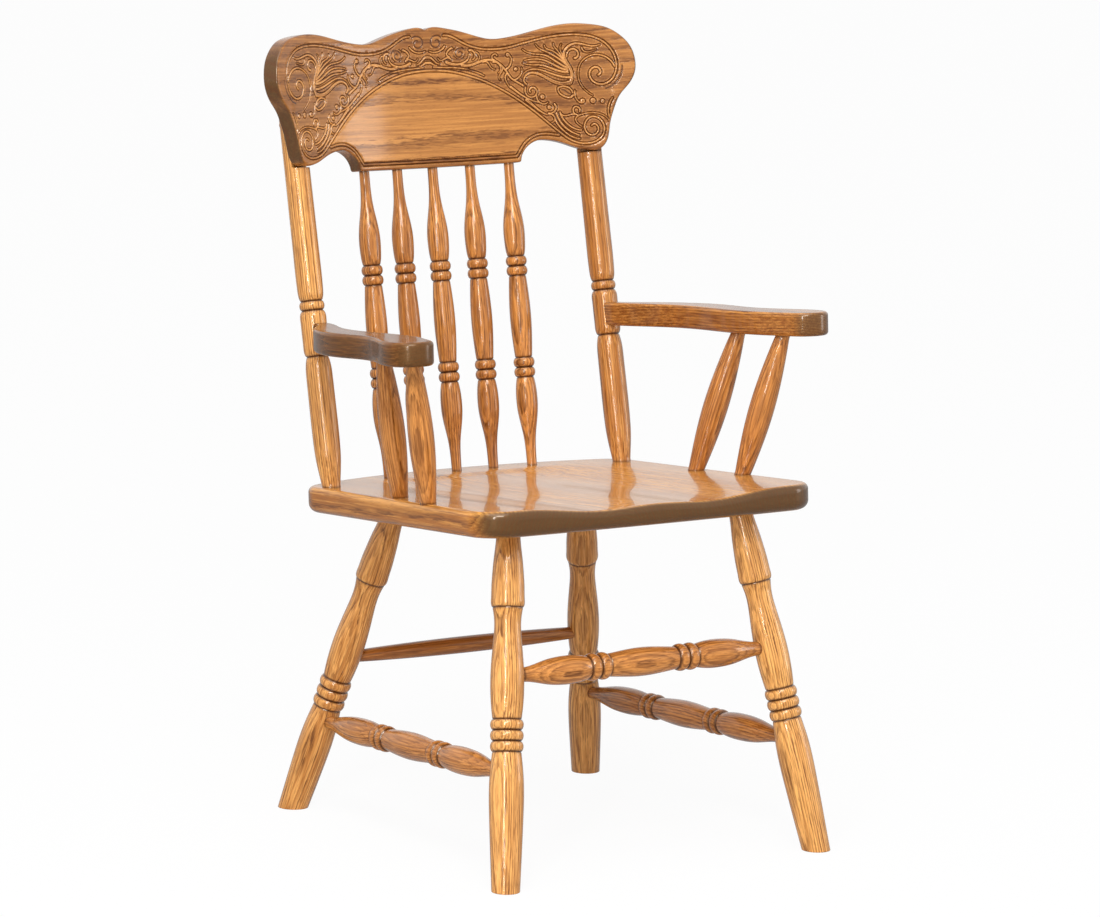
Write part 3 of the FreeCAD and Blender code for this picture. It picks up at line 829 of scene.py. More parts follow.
class Nodes:
    """Adds and links the shader nodes of a material or a world with few words."""

    def __init__(self, owner: Material | World) -> None:
        """Starts with no nodes.

        Args:
            owner: what the nodes belong to.
        """
        owner.use_nodes = True
        self.tree = owner.node_tree
        self.tree.nodes.clear()
        self.output = "OutputWorld" if isinstance(owner, World) else "OutputMaterial"

    def add(self, kind: str, **values: Input | str) -> Node:
        """Adds a node and fills it in.

        Args:
            kind: node type without the ShaderNode prefix.
            values: values or sockets for its inputs, under their names with _ for a space,
                and settings, which have names in small letters.

        Returns:
            The node.
        """
        node = self.tree.nodes.new("ShaderNode" + kind)
        for name, value in values.items():
            if name.islower():
                setattr(node, name, value)
            else:
                self.put(node.inputs[name.replace("_", " ")], value)
        return node

    def put(self, socket: NodeSocket, value: Input) -> None:
        """Fills an input.

        Args:
            socket: the input.
            value: what it is set to, or the socket that is linked to it.
        """
        if isinstance(value, NodeSocket):
            self.tree.links.new(value, socket)
        else:
            socket.default_value = value

    def sum(self, kind: str, operation: str, *values: Input) -> Node:
        """Adds a node for one sum.

        Args:
            kind: Math or VectorMath.
            operation: what it does.
            values: what it does it to.

        Returns:
            The node.
        """
        node = self.add(kind, operation=operation)
        for socket, value in zip(node.inputs, values):
            self.put(socket, value)
        return node

    def math(self, operation: str, *values: Input) -> NodeSocket:
        """Result of one sum."""
        return self.sum("Math", operation, *values).outputs["Value"]

    def vector(self, operation: str, *values: Input) -> NodeSocket:
        """Result of one sum of vectors."""
        return self.sum("VectorMath", operation, *values).outputs["Vector"]

    def length(self, value: Input) -> NodeSocket:
        """Length of a vector."""
        return self.sum("VectorMath", "LENGTH", value).outputs["Value"]

    def attribute(self, name: str, output: str = "Fac") -> NodeSocket:
        """Number, or with output Vector the vector, that a mesh stores for each point."""
        return self.add("Attribute", attribute_name=name).outputs[output]

    def noise(self, place: Input, cells: Spot, detail: float = 2.0, output: str = "Fac") -> NodeSocket:
        """Noise with so many cells to the metre along each axis, so many octaves deep."""
        scaled = self.vector("MULTIPLY", place, cells)
        return self.add("TexNoise", Vector=scaled, Scale=1.0, Detail=detail, Roughness=0.55).outputs[output]

    def chance(self, number: Input, output: str = "Value") -> NodeSocket:
        """Value or Color by chance for each whole number."""
        return self.add("TexWhiteNoise", noise_dimensions="1D", W=number).outputs[output]

    def remap(
        self, value: Input, low: float, high: float, bottom: float = 0.0, top: float = 1.0
    ) -> NodeSocket:
        """Spreads a value from low and high to bottom and top, and holds it between them."""
        ends = {"From_Min": low, "From_Max": high, "To_Min": bottom, "To_Max": top}
        return self.add("MapRange", Value=value, **ends).outputs["Result"]

    def blend(self, share: Input, first: Input, second: Input) -> NodeSocket:
        """Colour between two.

        Args:
            share: share of the second.
            first: the first colour.
            second: the second colour.

        Returns:
            The socket that gives it.
        """
        node = self.add("Mix", data_type="RGBA")
        for index, value in ((MIX_FACTOR, share), (MIX_FIRST, first), (MIX_SECOND, second)):
            self.put(node.inputs[index], value)
        return node.outputs[MIX_COLOUR]

    def finish(self, shader: Node) -> None:
        """Wires a shader to the output."""
        self.add(self.output, Surface=shader.outputs[0])


@dataclass(frozen=True)
class OakFinish:
    """Stained and varnished red oak, figured from each point's place in its board.

    Lengths are in metres, and cells of noise are counted to the metre, two times across the
    grain and then along it. A spread is the stretch of a noise that is drawn out to 0 and 1,
    and a mix is a factor and what is added after it.
    """

    name: str
    light: Colour
    deep: Colour
    pore: Colour = (0.120, 0.034, 0.007, 1.0)
    stain: Colour = (0.060, 0.014, 0.003, 1.0)
    # Colour of rubbed stain on the carving's raised edges, which also stands for painted highlights along
    # them
    rubbed_and_highlit: Colour = (0.82, 0.40, 0.13, 1.0)
    end_stain: Colour = (0.070, 0.034, 0.011, 1.0)
    shine_tint: Colour = (1.0, 0.66, 0.34, 1.0)
    ring: float = 0.0036
    wander: float = 0.016
    wander_cells: Spot = (5.0, 5.0, 1.3)
    jitters: tuple[tuple[Spot, float], ...] = (((130.0, 130.0, 12.0), 0.8), ((520.0, 520.0, 45.0), 0.5))
    early_rise: Pair = (0.0, 0.08)
    early_fall: Pair = (0.66, 0.22)
    least_year: float = 0.5
    dash: float = 28.0
    ragged_cells: float = 620.0
    ragged_spread: Pair = (0.42, 0.58)
    fine_cells: float = 1500.0
    fine_spread: Pair = (0.50, 0.68)
    early_mix: Pair = (0.80, 0.30)
    loose_mix: Pair = (0.60, 0.15)
    loose_pores: float = 1.0
    broad_cells: Spot = (22.0, 22.0, 3.0)
    streak_cells: Spot = (360.0, 360.0, 9.0)
    streak_share: float = 0.6
    tone_spread: Pair = (0.41, 0.59)
    piece_share: float = 0.38
    early_share: float = 0.40
    pore_depth: float = 0.92
    end_share: float = 0.75
    end_line_share: float = 0.5
    stain_share: float = 0.92
    board_width: float = 0.0
    board_shift: Spot = (0.10, 0.02, 3.0)
    relief: float = 0.35
    relief_depth: float = 0.0003
    coat_relief: float = 0.13
    coat: float = 0.70
    gloss: float = 0.06
    roughness: float = 0.26
    shine: float = 0.42

    def build(self) -> Material:
        """Builds the material.

        Returns:
            The material.
        """
        material = bpy.data.materials.new(self.name)
        nodes = Nodes(material)
        place, end, carved = self.coordinates(nodes)
        early = self.years(nodes, place)
        pores = self.pores(nodes, place, early)
        base = nodes.blend(self.tone(nodes, place), self.light, self.deep)
        for share, colour in (
            (nodes.math("MULTIPLY", early, self.early_share), self.deep),
            (nodes.math("MULTIPLY", pores, self.pore_depth), self.pore),
            (nodes.math("MULTIPLY", end, self.end_share), self.end_stain),
            (nodes.math("MULTIPLY", nodes.math("MULTIPLY", end, early), self.end_line_share), self.pore),
            # Lighter colour along the carving's raised edges: rubbed stain and painted highlight
            (nodes.remap(carved, 0.0, -1.0), self.rubbed_and_highlit),
            (nodes.math("MULTIPLY", carved, self.stain_share), self.stain),
        ):
            base = nodes.blend(share, base, colour)
        shader = nodes.add("BsdfPrincipled", Base_Color=base, Coat_Weight=self.coat, Coat_IOR=1.5)
        for name, value in (
            ("Coat Roughness", self.gloss), ("Roughness", self.roughness),
            ("Specular IOR Level", self.shine), ("Specular Tint", self.shine_tint),
        ):
            shader.inputs[name].default_value = value
        height = nodes.math("SUBTRACT", 1.0, pores)
        for name, relief in (("Normal", self.relief), ("Coat Normal", self.coat_relief)):
            bump = nodes.add("Bump", Strength=relief, Distance=self.relief_depth, Height=height)
            nodes.put(shader.inputs[name], bump.outputs["Normal"])
        nodes.finish(shader)
        return material

    def coordinates(self, nodes: Nodes) -> tuple[Input, Input, Input]:
        """Reads what each point stores, and glues the board up from strips.

        Args:
            nodes: the material being built.

        Returns:
            Place in the board, share of end grain and depth of carving.
        """
        place = nodes.attribute(GRAIN_PLACE, "Vector")
        end, carved = nodes.attribute(END_GRAIN), nodes.attribute(CARVED)
        if self.board_width > 0:
            across = nodes.add("SeparateXYZ", Vector=place).outputs["X"]
            number = nodes.math("FLOOR", nodes.math("DIVIDE", across, self.board_width))
            shift = nodes.vector("MULTIPLY", nodes.chance(number, "Color"), self.board_shift)
            place = nodes.vector("ADD", place, shift)
        return place, end, carved

    def years(self, nodes: Nodes, place: Input) -> NodeSocket:
        """Draws the early wood of each year round the heart of the tree.

        Args:
            nodes: the material being built.
            place: place in the tree.

        Returns:
            How far a point lies in early wood.
        """
        drift = nodes.noise(place, self.wander_cells, output="Color")
        drift = nodes.vector("SUBTRACT", drift, (0.5, 0.5, 0.5))
        drift = nodes.vector("MULTIPLY", drift, (self.wander, self.wander, 0.0))
        across = nodes.vector("MULTIPLY", nodes.vector("ADD", place, drift), (1.0, 1.0, 0.0))
        count = nodes.math("DIVIDE", nodes.length(across), self.ring)
        for cells, share in self.jitters:
            count = nodes.math("MULTIPLY_ADD", nodes.noise(place, cells), share, count)
        turn = nodes.math("FRACT", count)
        rise, fall = nodes.remap(turn, *self.early_rise), nodes.remap(turn, *self.early_fall)
        year = nodes.chance(nodes.math("FLOOR", count))
        strength = nodes.math("MULTIPLY_ADD", year, 1 - self.least_year, self.least_year)
        return nodes.math("MULTIPLY", nodes.math("MULTIPLY", rise, fall), strength)

    def pores(self, nodes: Nodes, place: Input, early: Input) -> NodeSocket:
        """Strews pores, most of them over the early wood.

        Args:
            nodes: the material being built.
            place: place in the tree.
            early: how far a point lies in early wood.

        Returns:
            How dark a pore lies on a point.
        """
        ragged = nodes.noise(place, (self.ragged_cells, self.ragged_cells, self.dash))
        ragged = nodes.remap(ragged, *self.ragged_spread)
        fine = nodes.noise(place, (self.fine_cells, self.fine_cells, 2.0 * self.dash), 1.0)
        fine = nodes.remap(fine, *self.fine_spread)
        dark = nodes.math("MULTIPLY", early, nodes.math("MULTIPLY_ADD", ragged, *self.early_mix))
        loose = nodes.math("MULTIPLY", fine, nodes.math("MULTIPLY_ADD", ragged, *self.loose_mix))
        return nodes.math("MAXIMUM", dark, nodes.math("MULTIPLY", loose, self.loose_pores))

    def tone(self, nodes: Nodes, place: Input) -> NodeSocket:
        """Shades the wood between light and deep, in streaks and from piece to piece, and lays on the
        painted shade that some pieces store for their points.

        Args:
            nodes: the material being built.
            place: place in the tree.

        Returns:
            Share of the deep colour.
        """
        broad = nodes.math("MULTIPLY", nodes.noise(place, self.broad_cells, 3.0), 1 - self.streak_share)
        streak = nodes.noise(place, self.streak_cells)
        tone = nodes.remap(nodes.math("MULTIPLY_ADD", streak, self.streak_share, broad), *self.tone_spread)
        tone = nodes.math("MULTIPLY", tone, 1 - self.piece_share)
        return nodes.math("MULTIPLY_ADD", nodes.attribute(PIECE_TONE_AND_SHADE), self.piece_share, tone)


@dataclass(frozen=True)
class PlugFinish(OakFinish):
    """Oak of the plugs, which keep their nodes and so store nothing for their points."""

    end: float = 0.25

    def coordinates(self, nodes: Nodes) -> tuple[Input, Input, Input]:
        """Place on the object, and the same share of end grain all over."""
        return nodes.add("TexCoord").outputs["Object"], self.end, 0.0


@dataclass(frozen=True)
class SteelFinish:
    """Plated steel of the wood screws."""

    name: str = "screw_steel"
    tone: Colour = (0.52, 0.50, 0.46, 1.0)
    dull: Colour = (0.33, 0.32, 0.30, 1.0)
    wear_cells: Spot = (900.0, 900.0, 900.0)
    wear_spread: Pair = (0.4, 0.6)
    roughness_mix: Pair = (0.3, 0.2)

    def build(self) -> Material:
        """Builds the material.

        Returns:
            The material.
        """
        material = bpy.data.materials.new(self.name)
        nodes = Nodes(material)
        wear = nodes.noise(nodes.add("TexCoord").outputs["Object"], self.wear_cells, 3.0)
        tone = nodes.blend(nodes.remap(wear, *self.wear_spread), self.tone, self.dull)
        roughness = nodes.math("MULTIPLY_ADD", wear, *self.roughness_mix)
        nodes.finish(nodes.add("BsdfPrincipled", Base_Color=tone, Metallic=1.0, Roughness=roughness))
        return material


# The chair


@dataclass
class Seat:
    """Saddled plank seat."""

    front_height: float = 484.6
    front_reach: float = 280.4
    tilt: float = 4.57
    thickness: float = 34.5
    depth: float = 531.0
    half_width: float = 262.0
    back_half_width: float = 255.5
    front_bow: float = 7.0
    back_bow: float = 58.0
    front_corner: float = 49.0
    back_corner: float = 50.0
    top_round: float = 8.0
    top_margin: float = 0.5
    bottom_round: float = 12.0
    saddle_depth: float = 9.0
    saddle_ridge: float = 2.6
    saddle_half_width: float = 196.0
    saddle_from_back: float = 66.0
    hollow_share: float = 0.48
    edge_share: float = 0.84
    edge_depth_share: float = 0.30
    least_saddle: float = 0.02
    saddle_softness: float = 0.9
    saddle_end_share: float = 0.06
    section_weight: float = 60.0
    section_step: float = 3.0
    across_step: float = 1.5
    section_shares: tuple[Spot, ...] = (
        (-0.10, 1.00, 0.96), (0.20, 1.00, 0.98), (0.50, 1.00, 1.00), (0.75, 0.92, 0.98),
        (0.92, 0.55, 0.86), (1.00, 0.05, 0.62),
    )
    bow_step: float = 1.0
    bow_thinning: int = 4
    side_points: int = 90
    grid: float = 12.0
    top_grid: float = 4.0
    in_tree: Pair = (40.0, 62.0)
    # Painted shade: the plank's edges are drawn darker than its top, starting a share of the top round down
    # and fading in over so many millimetres
    side_painted_shade: float = 1.5
    shade_from_share: float = 0.3
    side_shade_fade: float = 6.0
    end_from: float = 0.14

    @property
    def frame(self) -> Frame:
        """Middle of the front edge of the flat top, the plank running back along Y."""
        return Frame((0.0, -self.front_reach, self.front_height), self.tilt)

    def point(self, x: float, from_front: float, depth: float) -> Array:
        """Point at a depth under the flat top."""
        return self.frame.out(np.array([x, from_front, -depth]))

    def corner(self, arc: Array, other: Array, radius: float) -> Array:
        """Points that round the corner between a bowed end and the side to another corner."""
        reach = np.linalg.norm(arc - arc[0], axis=1)
        return rounded_corner(other, arc[0], arc[np.argmin(np.abs(reach - radius))], radius)

    def outline(self) -> Array:
        """Draws the plan of the plank, with bowed ends and rounded corners.

        Returns:
            The closed outline.
        """
        back_y = self.depth - self.front_bow - self.back_bow
        front_left, front_right = (np.array([x, 0.0]) for x in (-self.half_width, self.half_width))
        back_left, back_right = (
            np.array([x, back_y]) for x in (-self.back_half_width, self.back_half_width)
        )
        front = bow(front_left, np.array([0.0, -self.front_bow]), front_right, self.bow_step)
        rear = bow(back_right, np.array([0.0, back_y + self.back_bow]), back_left, self.bow_step)
        turn_1 = self.corner(front, back_left, self.front_corner)
        turn_2 = self.corner(front[::-1], back_right, self.front_corner)[::-1]
        turn_3 = self.corner(rear, front_right, self.back_corner)
        turn_4 = self.corner(rear[::-1], front_left, self.back_corner)[::-1]
        low = front[np.abs(front[:, 0]) < abs(turn_1[-1, 0]) - self.bow_step][::self.bow_thinning]
        high = rear[np.abs(rear[:, 0]) < abs(turn_3[-1, 0]) - self.bow_step][::self.bow_thinning]
        straight = np.linspace(0, 1, self.side_points)[1:-1, None]
        right = turn_2[-1] + straight * (turn_3[0] - turn_2[-1])
        left = turn_4[-1] + straight * (turn_1[0] - turn_4[-1])
        loop = np.concatenate([turn_1, low, turn_2, right, turn_3, high, turn_4, left])
        loop[:, 1] += self.front_bow
        return tidy_loop(loop)

    def hollow(self, x: Array, y: Array) -> Array:
        """Depth of the saddle under the flat top.

        Args:
            x: places across the seat.
            y: places back from its front edge.

        Returns:
            Depths, 0 outside the saddle.
        """
        rows = np.array(self.section_shares)
        rows[:, 0] *= self.depth - self.saddle_from_back
        weight = self.section_weight
        track = smooth_curve(rows * np.array([1.0, weight, weight]), self.section_step)
        deep = np.interp(y, track[:, 0], track[:, 1] / weight)
        wide = np.interp(y, track[:, 0], track[:, 2] / weight)
        deep = np.where(y > rows[-1, 0], 0.0, deep)
        middle = 1 - self.saddle_ridge / self.saddle_depth
        knots = np.array([
            (-1.0, 0.0), (-self.edge_share, self.edge_depth_share), (-self.hollow_share, 1.0),
            (0.0, middle), (self.hollow_share, 1.0), (self.edge_share, self.edge_depth_share), (1.0, 0.0),
        ])
        scale = np.array([self.saddle_half_width, self.saddle_depth])
        across = smooth_curve(knots * scale, self.across_step) / scale
        place = np.abs(x) / (self.saddle_half_width * wide)
        steep = self.edge_depth_share / (1 - self.edge_share)
        depth = np.where(
            place < 1, np.interp(place, across[:, 0], across[:, 1]), -steep * (place - 1)
        ) * self.saddle_depth * np.maximum(deep, self.least_saddle)
        eased = 0.5 * (depth + np.sqrt(depth ** 2 + self.saddle_softness ** 2))
        return eased * ease((1 - y / rows[-1, 0]) / self.saddle_end_share)

    def build(self, finish: Material) -> None:
        """Builds the seat and dresses it.

        Args:
            finish: its material.
        """
        board = Board(
            self.outline(), self.thickness, self.top_round, self.bottom_round, self.grid, self.top_grid
        )
        local, faces = board.build()
        sunk = self.hollow(local[:, 0], local[:, 1])
        share = np.clip(1 + local[:, 2] / self.thickness, 0, 1)
        local[:, 2] -= sunk * np.where(local[:, 2] > -self.top_round - self.top_margin, 1.0, ease(share))
        across, out = self.in_tree
        places = np.column_stack([local[:, 0] + across, local[:, 2] + out, local[:, 1]])
        grain = self.frame.turn() @ np.array([0.0, 1.0, 0.0])
        # Painted shade on the edges below the top, where less light falls
        below = -self.top_round * self.shade_from_share - local[:, 2] - sunk
        tone = self.side_painted_shade * ease(below / self.side_shade_fade)
        points = self.frame.out(local)
        shape = Shape(points, faces, places, grain, tone=tone, end_from=self.end_from)
        dress(shape.make("oak_seat", finish), "oak_seat", "seat")


@dataclass
class Underframe:
    """Four turned legs and the stretchers between them."""

    seat: Seat
    lathe: Lathe
    stretcher_lathe: Lathe
    tenon: float = 31.0
    crown: float = 43.4
    groove: float = 39.6
    waist: float = 34.6
    swell: float = 43.6
    bead: float = 43.0
    bead_neck: float = 37.6
    bead_width: float = 14.0
    bead_count: int = 3
    foot_swell: float = 45.2
    foot: float = 36.0
    crown_length: float = 120.0
    body_length: float = 143.0
    foot_length: float = 190.0
    front_in_seat: float = 22.0
    back_in_seat: float = 15.0
    front_from_front: float = 81.0
    front_half_spacing: float = 181.0
    back_from_back: float = 121.0
    back_half_spacing: float = 148.5
    front_foot: Pair = (243.4, -308.9)
    back_foot: Pair = (236.9, 231.6)
    stretcher_tenon: float = 17.0
    side_sizes: BeadedSizes = BeadedSizes(17.5, 35.8, 36.2, 28.5, 35.0, 15.0)
    side_beads_apart: float = 147.0
    side_heights: Pair = (145.0, 122.0)
    front_sizes: BeadedSizes = BeadedSizes(18.5, 37.4, 37.6, 29.5, 36.0, 15.5)
    front_beads_apart: float = 137.0
    front_height: float = 264.3
    back_height: float = 211.0
    back_end: float = 16.5
    back_middle: float = 23.0
    back_rows: int = 60
    left_tone: float = 0.35
    right_tone: float = 1.2
    front_tone: float = 0.5
    # Painted shade: the back stretcher is drawn darker for the seat's shadow that falls on it
    back_painted_shade: float = 1.5
    leg_facets: int = 64
    crown_shares: Shares = (
        (0.20, 0.20), (0.38, 0.54), (0.55, 0.77), (0.72, 0.94), (0.88, 1.00), (0.97, 0.93),
    )
    body_shares: Shares = (
        (0.06, 0.20), (0.13, 0.00), (0.26, 0.16), (0.44, 0.66), (0.64, 1.00), (0.84, 0.84),
    )
    foot_shares: Shares = (
        (0.06, 0.34), (0.16, 0.80), (0.30, 1.00), (0.46, 0.82), (0.65, 0.48), (0.84, 0.10),
    )
    end_shares: Shares = ((0.15, 0.18), (0.40, 0.76), (0.64, 1.00), (0.87, 0.88))
    barrel_shares: Shares = ((0.20, 0.55), (0.50, 1.00), (0.80, 0.55))

    def ends(self, side: Side, is_front: bool) -> tuple[Array, Array, float]:
        """Finds the ends of a leg.

        Args:
            side: its side.
            is_front: whether it is a front leg.

        Returns:
            Where it meets the seat and the floor, and how far it goes into the seat.
        """
        x = side.value
        if is_front:
            top = self.seat.point(x * self.front_half_spacing, self.front_from_front, self.seat.thickness)
            return top, np.array([x * self.front_foot[0], self.front_foot[1], 0.0]), self.front_in_seat
        from_front = self.seat.depth - self.back_from_back
        top = self.seat.point(x * self.back_half_spacing, from_front, self.seat.thickness)
        return top, np.array([x * self.back_foot[0], self.back_foot[1], 0.0]), self.back_in_seat

    def axis_at(self, side: Side, is_front: bool, height: float) -> Array:
        """Point on a leg's axis at a height above the floor."""
        top, foot, _ = self.ends(side, is_front)
        return foot + (top - foot) * (height / top[2])

    def leg(self, side: Side, is_front: bool) -> None:
        """Turns one leg and cuts it off level at the floor.

        Args:
            side: its side.
            is_front: whether it is a front leg.
        """
        top, foot, in_seat = self.ends(side, is_front)
        outline = Outline(self.tenon, -in_seat)
        outline.line(self.tenon, self.front_in_seat)
        outline.swell(
            self.crown_shares, self.tenon, self.crown, self.groove, self.crown_length - self.front_in_seat
        )
        outline.cut()
        outline.swell(self.body_shares, self.waist, self.swell, self.bead_neck, self.body_length)
        outline.beads(self.bead, self.bead_neck, self.bead_width, self.bead_count)
        outline.swell(self.foot_shares, self.bead_neck, self.foot_swell, self.foot, self.foot_length)
        shape = self.lathe.piece(outline, top, foot, self.leg_facets)
        down = shape.grain
        below = shape.points[:, 2] < 0
        shape.points[below] -= np.outer(shape.points[below, 2] / down[2], down)
        self.lathe.hand_over(shape, f"leg_{'front' if is_front else 'back'}_{side.word}")

    def span(self, start: Array, end: Array) -> tuple[Array, Array, float]:
        """Where a stretcher between two axes begins, its direction, and its length with tenons."""
        away, inset_by = np.linalg.norm(end - start), self.swell / 2 - self.stretcher_tenon
        return start + (end - start) / away * inset_by, (end - start) / away, away - 2 * inset_by

    def stretcher(
        self, name: str, start: Array, end: Array, sizes: BeadedSizes, apart: float, tone: float
    ) -> None:
        """Turns a stretcher with two pairs of beads.

        Args:
            name: the node it stands for.
            start: point on one leg's axis.
            end: point on the other leg's axis.
            sizes: its sizes.
            apart: from the middle of one pair of beads to that of the other.
            tone: how dark its wood is.
        """
        origin, along, length = self.span(start, end)
        group = 2 * sizes.bead_width
        taper = (length - apart - group) / 2 - self.stretcher_tenon
        mirrored = tuple((1 - place, size) for place, size in reversed(self.end_shares))
        outline = Outline(sizes.end, 0.0)
        outline.beaded(
            sizes, (self.end_shares, self.barrel_shares, mirrored), (taper, apart - group, taper),
            self.stretcher_tenon,
        )
        outline.joints += [self.stretcher_tenon, length - self.stretcher_tenon]
        shape = self.stretcher_lathe.piece(outline, origin, end)
        shape.tone = tone
        for joint in outline.joints:
            shape.darken((shape.points - origin) @ along - joint)
        self.stretcher_lathe.hand_over(shape, name)

    def back_stretcher(self) -> None:
        """Turns the plain stretcher between the back legs."""
        start, end = (self.axis_at(side, False, self.back_height) for side in Side)
        origin, _, length = self.span(start, end)
        outline = Outline(self.back_end, 0.0)
        outline.line(self.back_end, self.stretcher_tenon)
        outline.arc(self.back_middle, self.back_end, length - 2 * self.stretcher_tenon, self.back_rows)
        outline.line(self.back_end, self.stretcher_tenon)
        shape = self.stretcher_lathe.piece(outline, origin, end)
        # Painted shade for the seat's shadow on the back stretcher
        shape.tone = self.back_painted_shade
        self.stretcher_lathe.hand_over(shape, "stretcher_back")

    def build(self) -> None:
        """Builds legs and stretchers."""
        at_front, at_back = self.side_heights
        for side in Side:
            for is_front in (True, False):
                self.leg(side, is_front)
            self.stretcher(
                f"stretcher_{side.word}", self.axis_at(side, True, at_front),
                self.axis_at(side, False, at_back), self.side_sizes, self.side_beads_apart,
                self.left_tone if side is Side.LEFT else self.right_tone,
            )
        start, end = (self.axis_at(side, True, self.front_height) for side in Side)
        self.stretcher(
            "stretcher_front", start, end, self.front_sizes, self.front_beads_apart, self.front_tone
        )
        self.back_stretcher()


@dataclass(frozen=True)
class Stroke:
    """One stroke of the carving, drawn on the right half of the rail.

    Its points are places along the bend and up from the lower edge. Width and tip are its
    half widths at its start and its end.
    """

    points: Shares
    width: float
    tip: float
    mark: Mark = Mark.RAISED
    step: float = 2.0

    def path(self) -> Array:
        """Draws the stroke, in a curve where it has more than three points.

        Returns:
            Points along it, with the half width at each.
        """
        line = np.array(self.points, float)
        if len(line) > 3:
            line = smooth_curve(line, self.step)
        share = np.linspace(0, 1, len(line))
        return np.column_stack([line, self.width + (self.tip - self.width) * share])


def spiral(centre: Pair, inner: float, outer: float, start: float, turns: float) -> Shares:
    """Points of a scroll that opens outward.

    Args:
        centre: its eye.
        inner: radius at its start.
        outer: radius at its end.
        start: angle of its start in degrees.
        turns: turns to its end, counterclockwise if above zero.

    Returns:
        Points along it.
    """
    count = max(5, math.ceil(abs(turns) * 10))
    shares = [i / count for i in range(count + 1)]
    angles = [math.radians(start + 360 * turns * share) for share in shares]
    radii = [inner + (outer - inner) * share for share in shares]
    return tuple(
        (centre[0] + r * math.cos(a), centre[1] + r * math.sin(a)) for r, a in zip(radii, angles)
    )


# Lines of the carving on the right half: places along the bend and up, and for a stroke its
# half width at either end
BORDER = (
    (27, 178), (40, 175.5), (52, 169), (66, 162), (82, 157.5), (100, 155.8),
    (120, 156.8), (140, 160.5), (165, 165.5), (190, 168.8), (215, 169.2), (238, 165.5),
    (255, 157.5), (266, 145.5), (271.5, 131), (271, 117), (265, 105.5), (254, 99),
    (243.5, 99.8), (236, 106), (234, 114.5), (239, 121.5), (246.5, 121.5), (249.5, 115.5),
    (246, 111.5),
)
ARCH = (
    (-20, 130.2), (0, 131.2), (20, 130.2), (40, 127.4), (60, 122), (80, 114.6),
    (100, 105), (120, 93), (140, 78.6), (160, 61.8), (176, 47), (188, 36),
    (199, 27), (212, 21), (226, 19.4), (239, 23), (247.5, 32), (248, 44),
    (241.5, 53), (231, 55), (223, 48), (222, 38.5), (228, 31), (236.5, 31.5),
    (240.5, 38), (237.5, 44.5), (231.5, 43.5),
)
NOTCH = (
    (185, 33.5), (176, 35.2), (165, 36.6), (153, 35.4), (142, 30.5), (133, 22.5),
    (127, 14), (122.6, 8.4),
)
